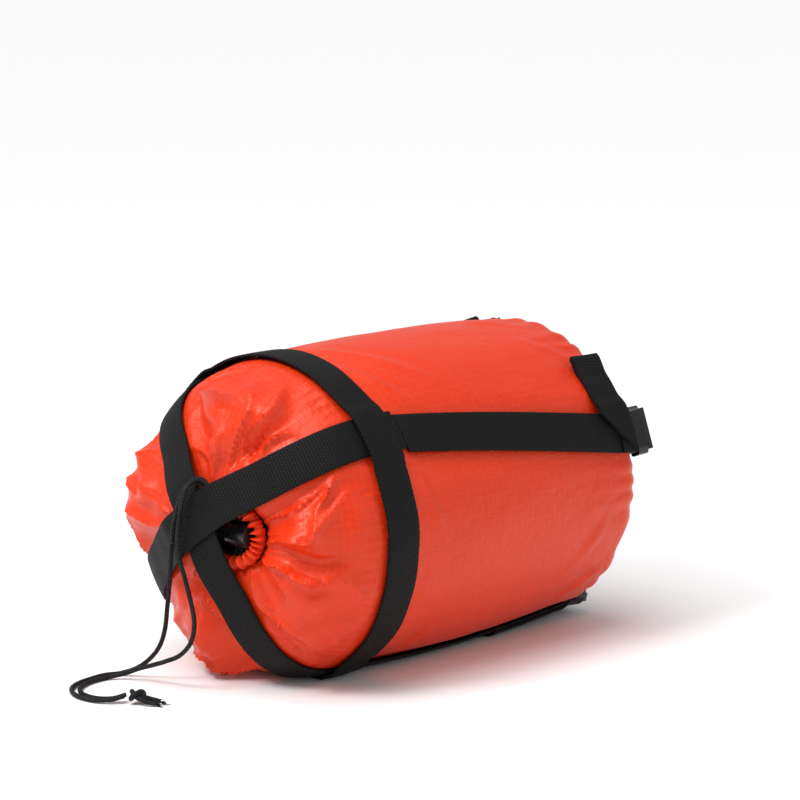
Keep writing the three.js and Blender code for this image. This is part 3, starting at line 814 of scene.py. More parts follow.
def wander(points: Array, scale: float, seed: float = 0.0) -> Array:
    """Smooth noise from -1 to 1 at each point of a grid.

    Args:
        points: (rows, columns, 3) places.
        scale: size of its cells.
        seed: shifts the pattern.

    Returns:
        (rows, columns) values.
    """
    flat = points.reshape(-1, 3) / scale + seed
    return np.array([noise.noise(p) for p in flat]).reshape(points.shape[:-1])


# ---- camera and light ------------------------------------------------------------------------------------


@dataclass(frozen=True)
class Studio:
    """The camera, a pale floor and soft light."""

    azimuth: float = math.radians(-45)
    height: float = math.radians(10.6)
    distance: float = 2.113
    right: float = 0.068
    up: float = 0.0694
    lens: float = 156.9
    floor_size: float = 30.0
    sky: float = 0.5
    sun: float = 1.9

    def place_camera(self, target: Vector) -> None:
        """Makes the camera, looking past target, the middle of the hoop."""
        a, e = self.azimuth, self.height
        back = Vector((math.sin(a) * math.cos(e), -math.cos(a) * math.cos(e), math.sin(e)))
        right = Vector((math.cos(a), math.sin(a), 0))
        up = back.cross(right)
        camera = bpy.data.cameras.new("camera")
        camera.lens, camera.sensor_width = self.lens, 36
        camera.clip_end = 100
        held = bpy.data.objects.new("camera", camera)
        turn = Matrix((right, up, back)).transposed().to_4x4()
        place = target + back * self.distance + right * self.right + up * self.up
        held.matrix_world = Matrix.Translation(place) @ turn
        bpy.context.scene.collection.objects.link(held)
        bpy.context.scene.camera = held

    def light(self) -> None:
        """Makes the floor, the sky and the lamps."""
        bpy.ops.object.select_all(action="DESELECT")
        bpy.ops.mesh.primitive_plane_add(size=self.floor_size, location=(0, 0, 0))
        floor = bpy.context.object
        floor.name = "floor"
        paper = bpy.data.materials.new("paper")
        paper.use_nodes = True
        shader = next(n for n in paper.node_tree.nodes if n.type == "BSDF_PRINCIPLED")
        shader.inputs["Base Color"].default_value = (0.9, 0.9, 0.9, 1)
        shader.inputs["Roughness"].default_value = 0.9
        shader.inputs["Specular IOR Level"].default_value = 0.1
        floor.data.materials.append(paper)
        world = bpy.data.worlds.new("studio")
        world.use_nodes = True
        background = world.node_tree.nodes["Background"]
        background.inputs["Color"].default_value = (1, 1, 1, 1)
        background.inputs["Strength"].default_value = self.sky
        bpy.context.scene.world = world
        for kind, name, place, size, power in (
            ("SUN", "overhead", (-0.5, 0.1, 1.6), math.radians(50), self.sun),
            ("AREA", "key", (-1.0, 0.1, 1.2), 0.4, 10),
            ("AREA", "fill", (0.9, -1.8, 0.9), 1.0, 4),
        ):
            lamp = bpy.data.lights.new(name, kind)
            lamp.energy = power
            if kind == "SUN":
                lamp.angle = size
            else:
                lamp.size = size
            held = bpy.data.objects.new(name, lamp)
            held.location = place
            held.rotation_euler = (-Vector(place)).to_track_quat("-Z", "Y").to_euler()
            bpy.context.scene.collection.objects.link(held)
        bpy.context.scene.view_settings.view_transform = "Standard"


# ---- drawcord --------------------------------------------------------------------------------------------


@dataclass
class Drawcord:
    """The two free strands, the knot on the floor, and the part held in the hem and the cord lock."""

    form: Form
    diameter: float = 2.8 * MM
    hem_cord: tuple[float, float] = (-68, 258)
    knot: tuple[float, float, float] = (-0.199, 0.0015, 0.0052)
    fray_threads: int = 14
    # Routes from the cord lock to the knot, in millimetres from the hoop's own origin.
    left: tuple = (
        (-141, -23.5, 105.2), (-141.3, -23.4, 107.2), (-145.6, -22.4, 109.8), (-150.8, -20.6, 111.6),
        (-154.2, -17, 115), (-155, -13.6, 119.6), (-154.9, -10.5, 124), (-156.2, -7.4, 127.4),
        (-159.7, -4.9, 127.9),
        (-163.1, -2.6, 124.6), (-164.8, -1, 119.2), (-165.2, 3.2, 109), (-164.4, 7.5, 95), (-163.6, 10, 81),
        (-162.2, 13, 66), (-160.8, 16.8, 50), (-159, 21.5, 34), (-158, 28, 22), (-158.4, 37, 12.5),
        (-160, 47, 5.5), (-165, 55.5, 1.8), (-175, 59, 1.8), (-187, 58.2, 1.8), (-199, 55.5, 1.8),
        (-208, 50, 1.8), (-214.5, 41, 1.8), (-217, 31, 1.8), (-215.8, 20, 1.9), (-210.4, 11.5, 2.6),
        (-204, 6.6, 4.6),
    )
    right: tuple = (
        (-141, -27.1, 105.2), (-141.3, -27, 107.4), (-145.6, -26.2, 110.8), (-150.8, -24.4, 113.2),
        (-154, -20.4, 117.2), (-155, -16.8, 122), (-154.9, -13.6, 126.4), (-156.2, -10.5, 129.8),
        (-159.7, -8, 130.3),
        (-163.2, -5.9, 127), (-165.4, -4.4, 121.6), (-166.2, -1.4, 110), (-165.6, 1, 97), (-164.6, 2, 84),
        (-163.4, -2, 70), (-162.2, -5.8, 56), (-161.4, -7.8, 43), (-161.8, -5, 31.5), (-163, 3, 22.5),
        (-164, 15, 16.6), (-164.4, 27, 12), (-165.6, 38, 8), (-169, 47.5, 3.8), (-176, 53.6, 1.8),
        (-186.6, 54.2, 1.8), (-196.6, 51.6, 1.8), (-204.6, 46.4, 1.8), (-210.4, 38.6, 1.8),
        (-212.8, 29.6, 1.8),
        (-211.6, 20.6, 1.9), (-206.6, 13, 2.6), (-200.8, 8.6, 4.6),
    )

    @property
    def shift(self) -> Array:
        """From the routes' origin to the frame's."""
        return np.array([self.form.hoop_x + 78 * MM, 0, 0])

    def strand(self, name: str, route: tuple, knot: bpy.types.Object) -> bpy.types.Object:
        """Makes one free strand.

        Args:
            name: the piece's name.
            route: its points.
            knot: the knot at its end; not used.

        Returns:
            The strand.
        """
        line = catmull(np.array(route) * MM + self.shift, 1.2 * MM)
        piece = tube_along(name, line, self.diameter / 2, 10)
        dress(piece, Finish.CORD, name.replace("strand", "drawcord"))
        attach(piece, "sack")
        return piece

    def tie_knot(self) -> bpy.types.Object:
        """Makes the overhand knot with its two frayed ends."""
        t = np.linspace(0, 2 * math.pi, 97)
        across, up = np.sin(t) + 2 * np.sin(2 * t), np.cos(t) - 2 * np.cos(2 * t)
        loop = np.stack([across, up, -1.25 * np.sin(3 * t)], axis=1)
        centre = np.array(self.knot) + self.shift
        turned = Matrix.Rotation(math.radians(40), 3, "Z")
        loop = (loop * 1.45 * MM) @ np.array(turned).T + centre
        parts = [tube_along("knot", loop, 1.5 * MM, 10, closed=True)]
        routes = (
            ((1.5, -2, -0.4), (5, -7, -1.8), (8.4, -11.6, -3.2)),
            ((-1.5, -2.5, -0.6), (0.2, -8, -2.6), (3.6, -13.2, -3.4)),
        )
        for number, route in enumerate(routes):
            line = catmull(np.array(route) * MM + centre, 0.8 * MM)
            parts.append(tube_along(f"end{number}", line, self.diameter / 2, 10))
            parts += self.fray(line[-1], line[-1] - line[-3], number)
        for part in parts:
            part.select_set(True)
        bpy.context.view_layer.objects.active = parts[0]
        bpy.ops.object.join()
        piece = bpy.context.object
        piece.name = "knot"
        dress(piece, Finish.CORD, "drawcord_knot")
        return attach(piece, "sack")

    def fray(self, tip: Array, way: Array, seed: int) -> list[bpy.types.Object]:
        """Loose threads at a cut end.

        Args:
            tip: where they start.
            way: which way the end points.
            seed: a different spread for each end.

        Returns:
            The threads.
        """
        rng = np.random.default_rng(40 + seed)
        way = way / np.linalg.norm(way)
        threads = []
        for number in range(self.fray_threads):
            spread = rng.normal(0, 0.3, 3)
            reach = rng.uniform(2.2, 4.2) * MM
            start = tip + rng.normal(0, 0.45 * MM, 3)
            end = start + (way + spread) * reach
            bend = (start + end) / 2 + rng.normal(0, 0.3 * MM, 3)
            line = np.array([start, bend, end])
            line[:, 2] = np.maximum(line[:, 2], 0.5 * MM)
            threads.append(tube_along(f"thread{seed}_{number}", line, 0.22 * MM, 5))
        return threads

    def held_part(self) -> bpy.types.Object:
        """Makes the part of the cord inside the cord lock and the hem."""
        lock = CordLock(self.form)
        first, second = lock.cords
        x, z = lock.x, lock.z
        phi = np.radians(np.linspace(*self.hem_cord, 21))
        ring = self.form.opening_edge(phi, np.full(21, 3.9 * MM), np.zeros(21))
        down = [np.array([[x, y, z + 7.6 * MM], [x, y, z], [x, y, z - 9.5 * MM]]) for y in (second, first)]
        line = catmull(np.vstack([down[0], ring, down[1][::-1]]), 1.5 * MM)
        piece = tube_along("held_cord", line, self.diameter / 2, 10)
        dress(piece, Finish.CORD, "channel_cord")
        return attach(piece, "sack")

    def build(self) -> None:
        """Makes every piece of the cord."""
        knot = self.tie_knot()
        self.strand("strand_left", self.left, knot)
        self.strand("strand_right", self.right, knot)
        self.held_part()


# ---- cord lock -------------------------------------------------------------------------------------------


@dataclass
class CordLock:
    """A round barrel with a sprung button, both with a slot for the cord."""

    form: Form
    z: float = 97 * MM
    cords: tuple[float, float] = (-23.5 * MM, -27.1 * MM)
    radius: float = 7.5 * MM
    back: float = -37 * MM
    front: float = -20 * MM
    wall: float = 1.8 * MM
    bore: float = 5.3 * MM
    button: float = 5 * MM
    inner: float = -30.5 * MM
    cap: float = -15 * MM
    slot_half: float = 1.7 * MM
    travel: float = 4 * MM

    @property
    def x(self) -> float:
        """The lock's place along the sack."""
        return self.form.hoop_x - 63 * MM

    def barrel(self, name: str, radius: float, y0: float, y1: float) -> bpy.types.Object:
        """A cylinder across the sack between two stations."""
        bpy.ops.object.select_all(action="DESELECT")
        bpy.ops.mesh.primitive_cylinder_add(
            vertices=64, radius=radius, depth=abs(y1 - y0), location=(self.x, (y0 + y1) / 2, self.z),
            rotation=(math.pi / 2, 0, 0),
        )
        piece = bpy.context.object
        piece.name = name
        return settle(piece)

    def cord_slot(self, y0: float, y1: float) -> bpy.types.Object:
        """An upright slot with rounded ends, for cutting."""
        bpy.ops.object.select_all(action="DESELECT")
        place = (self.x, y0, self.z)
        bpy.ops.mesh.primitive_cylinder_add(vertices=32, radius=self.slot_half, depth=30 * MM, location=place)
        piece = settle(bpy.context.object)
        bpy.ops.object.mode_set(mode="EDIT")
        bpy.ops.mesh.select_all(action="DESELECT")
        bpy.ops.object.mode_set(mode="OBJECT")
        for vertex in piece.data.vertices:
            vertex.select = vertex.co.y > y0 - 1e-7
        bpy.ops.object.mode_set(mode="EDIT")
        bpy.ops.transform.translate(value=(0, y1 - y0, 0))
        bpy.ops.object.mode_set(mode="OBJECT")
        return piece

    def band(self, extra: float = 0.0) -> tuple[float, float]:
        """The slot's end centres, for both strands."""
        return min(self.cords), max(self.cords) + extra

    def build(self) -> None:
        """Makes the housing and the button."""
        body = self.barrel("cord_lock_housing", self.radius, self.back, self.front)
        recess(body, self.barrel("bore", self.bore, self.back + self.wall, self.front + 5 * MM))
        recess(body, self.cord_slot(*self.band()))
        round_edges(body, 0.7 * MM, 3, 50)
        dress(smooth(body, 35), Finish.MOULDING, "cord_lock_body")
        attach(body, "sack")
        button = self.barrel("cord_lock_button", self.button, self.inner, self.cap)
        recess(button, self.cord_slot(*self.band(self.travel)))
        round_edges(button, 0.8 * MM, 3, 50)
        dress(smooth(button, 35), Finish.MOULDING, "cord_lock_plunger")
        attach(button, "plunger")
        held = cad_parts["cord_lock_spring"]
        spring = held.copy()
        spring.data = held.data.copy()
        spring.parent = None
        for key in list(spring.keys()):
            del spring[key]
        spring.name = "cord_lock_coil"
        bpy.context.scene.collection.objects.link(spring)
        dress(smooth(settle(spring), 60), Finish.SPRING, "cord_lock_spring")
        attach(spring, "sack")
        low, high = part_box("cord_lock_spring")
        keep = 1 - self.travel / (high.y - low.y)
        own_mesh(spring)


# ---- fabric ----------------------------------------------------------------------------------------------


@dataclass(frozen=True)
class Crease:
    """A long soft fold in the tube: its middle (along, round), its slant, its length, width and height."""

    along: float
    round: float
    slant: float
    length: float
    width: float
    height: float


@dataclass
class Shell:
    """The fabric: the tube, the gathered mouth with its hem, and the base panel."""

    form: Form
    thick: float = 0.6 * MM
    shorten: tuple[float, float] = (-55 * MM, 55 * MM)
    # The mouth's folds: how many, their height in millimetres, where they start, and a seed.
    folds: tuple = ((9, 6.2, 0.0, 1.0), (17, 3.2, 0.08, 2.0), (31, 1.1, 0.3, 3.0))
    creases: tuple[Crease, ...] = (
        Crease(0.11, 62, -58, 90 * MM, 3.2 * MM, 1.6 * MM),
        Crease(0.20, 72, -50, 110 * MM, 4.0 * MM, 1.3 * MM),
        Crease(0.10, 30, -72, 34 * MM, 1.9 * MM, 1.2 * MM),
        Crease(0.14, 8, -66, 60 * MM, 2.6 * MM, 1.1 * MM),
        Crease(0.10, -30, 70, 66 * MM, 2.8 * MM, 1.3 * MM),
        Crease(0.22, -48, 62, 80 * MM, 3.4 * MM, 1.1 * MM),
        Crease(0.86, -22, 48, 70 * MM, 4.2 * MM, 1.4 * MM),
        Crease(0.92, -42, 40, 60 * MM, 4.0 * MM, 1.6 * MM),
        Crease(0.90, 60, -38, 60 * MM, 3.6 * MM, 1.2 * MM),
        Crease(0.84, 85, -28, 70 * MM, 4.2 * MM, 1.3 * MM),
        Crease(0.12, 112, 55, 70 * MM, 3.2 * MM, 1.3 * MM),
        Crease(0.86, 150, 45, 70 * MM, 4.0 * MM, 1.4 * MM),
        Crease(0.14, 170, -60, 70 * MM, 3.0 * MM, 1.3 * MM),
        Crease(0.88, -120, -50, 60 * MM, 3.8 * MM, 1.3 * MM),
    )

    def off_runs(self, x: Array, phi: Array) -> Array:
        """Distance round the tube from the nearest strap's middle."""
        near = np.full(np.broadcast_shapes(x.shape, phi.shape), np.inf)
        for strap in self.form.straps:
            off = phi - self.form.strap_angle(strap, x)
            off = np.abs(np.arctan2(np.sin(off), np.cos(off))) * self.form.radius
            near = np.minimum(near, off)
        return near

    def tube_relief(self, x: Array, phi: Array) -> Array:
        """How far the tube's cloth stands off its plain form."""
        f = self.form
        place = np.stack(np.broadcast_arrays(x, f.radius * np.cos(phi), f.radius * np.sin(phi)), axis=-1)
        stretched = place * np.array([0.45, 1, 1])
        clear = ease((self.off_runs(x, phi) - 11 * MM) / (16 * MM))
        from_hoop, from_base = x - f.hoop_x, f.base_x - x
        relief = 1.1 * MM * wander(stretched, 38 * MM, 3.1) + 0.5 * MM * wander(stretched, 15 * MM, 7.7)
        for c in self.creases:
            dx = x - (f.hoop_x + c.along * f.length)
            turn = phi - math.radians(c.round)
            ds = np.arctan2(np.sin(turn), np.cos(turn)) * f.radius
            cos, sin = math.cos(math.radians(c.slant)), math.sin(math.radians(c.slant))
            run, off = dx * cos + ds * sin, -dx * sin + ds * cos
            bow = off - 0.12 * run**2 / c.length
            beside = np.exp(-(((bow - 1.9 * c.width) / (1.3 * c.width)) ** 2))
            shape = np.exp(-((bow / c.width) ** 2)) - 0.55 * beside
            relief = relief + c.height * shape * ease(1 - np.abs(run) / (c.length / 2))
        beat = f.radius * phi / (7.5 * MM) + 1.4 * wander(place, 30 * MM, 11.0)
        pucker = np.sin(2 * math.pi * beat)
        relief = relief + 0.45 * MM * pucker * np.exp(-np.maximum(from_hoop - 12 * MM, 0) / (9 * MM))
        slow = f.radius * phi / (19 * MM) + 1.2 * wander(place, 45 * MM, 17.0)
        near_base = np.exp(-np.maximum(from_base, 0) / (16 * MM))
        relief = relief + 0.7 * MM * np.sin(2 * math.pi * slow) * near_base
        return relief * (0.15 + 0.85 * clear) + 1.3 * MM * (clear - 1) * ease(from_hoop / (30 * MM))

    def tube(self) -> bpy.types.Object:
        """Makes the tube, from under the hoop round the base shoulder to the panel's seam."""
        f = self.form
        columns = 260
        phi = np.linspace(-math.pi, math.pi, columns + 1)[None]
        x = np.linspace(f.hoop_x + 1 * MM, f.base_x, 118)[:, None]
        under_hoop = ease((x - f.hoop_x - 8 * MM) / (14 * MM))
        relief = self.tube_relief(x, phi) * under_hoop - 0.3 * MM
        side = f.on_tube(x, phi, relief, f.shell_floor(x, phi) + 0.1 * MM, 1.2 * MM)
        theta = np.linspace(0, 1, 27)[1:, None] * f.panel_rim
        fade = np.cos(theta / f.panel_rim * math.pi / 2)
        rim = self.tube_relief(np.full_like(theta, f.base_x), phi)
        fold = 0.5 * MM * np.sin(phi * 31 + 2.2 * np.sin(phi * 5)) * (1 - fade)
        floor = f.shell_floor(np.full_like(theta, f.base_x), phi)
        end = f.on_end(f.base, f.base.shoulder(theta), phi, rim * fade + fold - 0.3 * MM, floor, 1.2 * MM)
        points = np.concatenate([side, end])
        points[:, -1] = points[:, 0]
        along = arc_lengths(points[:, columns // 2])
        flat = np.stack(np.broadcast_arrays(phi * f.radius, along[:, None]), axis=2)
        piece = weld(cloth_grid("sack_fabric", points, flat))
        self.thicken(piece)
        dress(piece, Finish.SHELL, "sack_tube")
        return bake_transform(piece)

    def thicken(self, piece: bpy.types.Object) -> None:
        """Gives a sheet whose faces point outwards its thickness, inwards."""
        centre = np.mean([v.co.y for v in piece.data.vertices])
        face = max(piece.data.polygons, key=lambda p: p.center.y)
        if face.normal.y * (face.center.y - centre) < 0:
            turn_over(piece)
        apply_modifier(piece, "SOLIDIFY", thickness=self.thick, offset=-1, use_even_offset=False)
        smooth(piece, 60)

    def gathers(self, t: Array, phi: Array, points: Array) -> Array:
        """How far the mouth's folds stand off its plain form."""
        drift = wander(points, 42 * MM, 5.0)
        relief = np.zeros(np.broadcast_shapes(t.shape, phi.shape))
        for count, height, start, seed in self.folds:
            bend = drift * 0.9 + 0.35 * np.sin(3 * phi + seed * 2) * t
            crest = 1 - 1.9 * np.sqrt(np.abs(np.sin(count * phi * 0.5 + 4.5 * bend + seed)) + 0.004)
            local = 0.2 + 0.8 * ease(0.5 + 1.8 * wander(points, 36 * MM, 20 + seed))
            grow = ease((t - start) / (0.6 - start)) * (1 - 0.45 * ease((t - 0.7) / 0.3))
            relief += height * MM * crest * local * grow
        relief += 2.6 * MM * wander(points, 21 * MM, 31.0) * ease(t / 0.25)
        pucker = np.sin(phi * 92 + 2.5 * drift)
        return relief + 0.55 * MM * pucker * np.exp(-(((t - 0.2) / 0.07) ** 2))

    def mouth(self) -> bpy.types.Object:
        """Makes the gathered mouth, from under the hoop to the hem."""
        f = self.form
        columns, rows = 280, 96
        phi = np.linspace(-math.pi, math.pi, columns + 1)[None]
        t = np.linspace(0.004, 1.01, rows)[:, None]
        plain = f.mouth_surface(t, phi)
        y, z, _ = f.mouth_plan(t, phi)
        clear = ease((f.off_straps(y, z) - 13 * MM) / (10 * MM))
        relief = self.gathers(t, phi, plain)
        relief = np.where(relief > 0, relief * clear, relief * (0.25 + 0.75 * clear)) - 0.4 * MM
        relief = np.clip(relief, -7.5 * MM, 5 * MM)
        relief = relief * ease(t / 0.12)
        points = f.mouth_surface(t, phi, relief)
        points[:, -1] = points[:, 0]
        along = arc_lengths(plain[:, columns // 2])
        flat = np.stack(np.broadcast_arrays(phi * f.radius, along[:, None]), axis=2)
        piece = weld(cloth_grid("mouth_gathers", points, flat))
        self.thicken(piece)
        dress(piece, Finish.SHELL, "mouth_fabric")
        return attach(piece, "sack")

    def hem(self) -> bpy.types.Object:
        """Makes the hem, a soft channel gathered into pleats round the cord."""
        f = self.form
        phi = np.linspace(0, 2 * math.pi, 401)[:, None]
        bend = np.linspace(0, 2 * math.pi, 19)[None]
        beat = 27 * phi + 1.8 * np.sin(4 * phi + 1)
        size = 3.5 * MM * (1 + 0.22 * np.sin(beat) + 0.1 * np.sin(2.3 * beat) * np.cos(bend))
        size = size * (1 + 0.25 * np.maximum(np.sin(bend), 0) * np.sin(beat))
        inset = 3.9 * MM - size * np.cos(bend) + 0.5 * MM * np.sin(beat)
        points = f.opening_edge(phi, inset, -size * np.sin(bend) * 1.15)
        points[-1] = points[0]
        points[:, -1] = points[:, 0]
        flat = np.stack(np.broadcast_arrays(bend * 3.5 * MM, phi * 60 * MM), axis=2)
        piece = smooth(face_outwards(weld(cloth_grid("mouth_hem", points, flat))), 70)
        dress(piece, Finish.SHELL, "hem_channel")
        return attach(piece, "sack")

    def panel(self) -> bpy.types.Object:
        """Makes the base panel inside the tube's seam."""
        f = self.form
        phi = np.linspace(-math.pi, math.pi, 193)[None]
        theta = np.linspace(f.panel_rim - math.radians(2), math.pi / 2, 40)[:, None]
        inward = (theta - f.panel_rim) / (math.pi / 2 - f.panel_rim)
        place = f.on_end(f.base, f.base.shoulder(theta), phi)
        relief = 0.9 * MM * wander(place, 24 * MM, 9.0) * ease(inward * 3)
        seam = 0.4 * MM * np.sin(phi * 44) * ease(1 - inward * 4) - 0.7 * MM * ease(1 - inward * 8)
        relief = relief + seam - 0.4 * MM
        points = f.on_end(f.base, f.base.shoulder(theta), phi, relief)
        points[:, -1] = points[:, 0]
        points[-1] = points[-1].mean(axis=0)
        flat = points[..., 1:]
        piece = weld(cloth_grid("base_fabric", points, flat))
        if piece.data.polygons[0].normal.x < 0:
            turn_over(piece)
        apply_modifier(piece, "SOLIDIFY", thickness=self.thick, offset=-1, use_even_offset=False)
        dress(smooth(piece, 60), Finish.SHELL, "base_panel")
        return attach(piece, "base")

    def build(self) -> None:
        """Makes all of the fabric."""
        self.tube()
        self.mouth()
        self.hem()
        self.panel()


@dataclass
class Contents:
    """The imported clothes: a crumpled solid with a fold that shows in the mouth."""

    form: Form
    voxel: float = 4 * MM
    behind_folds: float = 9 * MM
    shorten: tuple[float, float] = (-55 * MM, 55 * MM)

    def build(self) -> None:
        """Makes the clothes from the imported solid."""
        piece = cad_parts["packed_fill"].copy()
        piece.data = piece.data.copy()
        for key in list(piece.keys()):
            del piece[key]
        piece.parent = None
        piece.matrix_world = Matrix.Identity(4)
        piece.name = "packed_clothes"
        bpy.context.scene.collection.objects.link(piece)
        weld(piece)
        bpy.ops.object.select_all(action="DESELECT")
        low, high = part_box("hem_channel")
        bpy.ops.mesh.primitive_uv_sphere_add(
            segments=32, ring_count=20, radius=1,
            location=(high.x + 3 * MM, low.y + 5.6 * MM, (low.z + high.z) / 2 + 1 * MM),
        )
        fold = bpy.context.object
        fold.scale = (6 * MM, 2.6 * MM, 14 * MM)
        settle(fold)
        piece.select_set(True)
        bpy.context.view_layer.objects.active = piece
        bpy.ops.object.join()
        apply_modifier(piece, "REMESH", mode="VOXEL", voxel_size=self.voxel, use_smooth_shade=True)
        co = np.array([v.co for v in piece.data.vertices])
        normal = np.array([v.normal for v in piece.data.vertices])
        behind_mouth = ease((self.form.hoop_x + 25 * MM - co[:, 0]) / (30 * MM))
        crumple = wander(co, 13 * MM, 2.0) * 1.1 * MM - lerp(1.6 * MM, self.behind_folds, behind_mouth)
        piece.data.vertices.foreach_set("co", (co + normal * crumple[:, None]).ravel())
        dress(piece, Finish.CLOTH, "packed_fill")
        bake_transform(piece)


# ---- webbing and locks -----------------------------------------------------------------------------------


@dataclass
class CrossedStraps:
    """The two straps over the mouth, and the hoop over their ends."""

    form: Form
    columns: int = 9
    stub: float = 16 * MM

    def cross(self, name: str, ends: tuple[float, float], over: bool) -> bpy.types.Object:
        """Makes one strap over the mouth.

        Args:
            name: the piece's name, and the node's.
            ends: its angles at the hoop.
            over: whether it passes over the other strap.

        Returns:
            The strap.
        """
        f = self.form
        v = np.linspace(-0.5, 0.5, self.columns)[None] * f.web_width
        half = f.web / 2

        def leg(phi: float, x: Array, way: int) -> Array:
            """The end that lies under the hoop."""
            angle = phi + way * v / f.radius
            return f.on_tube(x[:, None], angle, 1.5 * f.gap + half, f.run_floor(x[:, None], angle) + half)

        q = np.linspace(0.97, -0.97, 130)
        plan = f.cross_plan(q, ends)
        reach = plan["reach"][:, None]
        lift = f.cross_raise * (1 - ease((reach - 20 * MM) / (34 * MM)))
        crossing = f.layer * (1 - ease((reach - 20 * MM) / (12 * MM))) if over else 0.0
        y = plan["middle"][:, :1] + v * plan["side"][:, :1]
        z = plan["middle"][:, 1:] + v * plan["side"][:, 1:]
        spread = lerp(np.hypot(y, z), reach, (reach / f.radius) ** 4)
        span = f.on_end(f.mouth, spread, np.arctan2(z, -y), f.gap + half + lift + crossing, f.layer + half)
        x = f.hoop_x + 0.5 * MM + np.linspace(self.stub, 1 * MM, 8)
        points = np.concatenate([leg(ends[0], x, 1), span, leg(ends[1], x[::-1], -1)])
        piece = webbing_strip(name.replace("_cross", "_over_mouth"), points, f.web)
        dress(piece, Finish.RUN_WEB, name)
        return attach(piece, "sack")

    def hoop(self) -> bpy.types.Object:
        """Makes the hoop, humped where it passes over each strap."""
        f = self.form
        phi = np.linspace(-math.pi, math.pi, 361)[:, None]
        hump = np.zeros_like(phi)
        for strap in f.straps:
            off = np.abs(np.arctan2(np.sin(phi - strap.hoop), np.cos(phi - strap.hoop))) * f.radius
            hump = np.maximum(hump, 1 - ease((off - 13 * MM) / (11 * MM)))
        v = np.linspace(-0.5, 0.5, 7)[None] * f.web_width
        v = v * (1 + 0.012 * np.sin(phi * 210))
        wave = 0.35 * MM * np.sin(phi * 9 + 1) + 0.25 * MM * np.sin(phi * 17)
        x = f.hoop_x - f.hoop_lean * np.sin(phi) + v + wave
        height = 4 * f.gap + f.layer * hump + f.web / 2 - 0.25 * MM * (2 * v / f.web_width) ** 2
        points = f.polar(x, f.radius + height, phi, f.web / 2)
        points[-1] = points[0]
        piece = webbing_strip("hoop", points, f.web, closed=True)
        dress(piece, Finish.HOOP_WEB, "mouth_hoop")
        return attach(piece, "sack")

    def build(self) -> None:
        """Makes the hoop and both straps."""
        self.hoop()
        self.cross("strap_a_cross", self.form.cross_a, True)
        self.cross("strap_b_cross", self.form.cross_b, False)


@dataclass
class LockPlace:
    """A ladder lock's own axes on the base: t towards its middle, n outwards and b across the strap."""

    form: Form
    strap: Strap
    origin: Array = field(init=False)
    n: Array = field(init=False)
    b: Array = field(init=False)
    t: Array = field(init=False)

    def __post_init__(self) -> None:
        """Works the axes out from the sack's form."""
        self.origin = self.on_base(self.form.lock_theta, 0.0)
        self.n = self.on_base(self.form.lock_theta, 1 * MM) - self.origin
        self.n = self.n / np.linalg.norm(self.n)
        self.b = np.array([0, math.sin(self.strap.base), math.cos(self.strap.base)])
        self.t = np.cross(self.b, self.n)

    def on_base(self, theta: float, h: float) -> Array:
        """A point h outside the base on the strap's line."""
        f = self.form
        return f.on_end(f.base, f.base.shoulder(theta), self.strap.base, h)

    def flat(self, theta: float, h: float) -> tuple[float, float]:
        """Where a spot on the base lies in the lock's (t, n), in millimetres."""
        p = (self.on_base(theta, h) - self.origin) / MM
        return float(p @ self.t), float(p @ self.n)

    def at(self, t: Array, n: Array, b: Array) -> Array:
        """Places in the frame from the lock's own coordinates, in millimetres."""
        t, n, b = np.broadcast_arrays(t, n, b)
        return self.origin + MM * (t[..., None] * self.t + n[..., None] * self.n + b[..., None] * self.b)

    def matrix(self) -> Matrix:
        """Turns a lock drawn flat, with its fixed bar at +Y, onto the base."""
        m = Matrix((-self.b, self.t, self.n)).transposed().to_4x4()
        m.translation = Vector(self.origin)
        return m


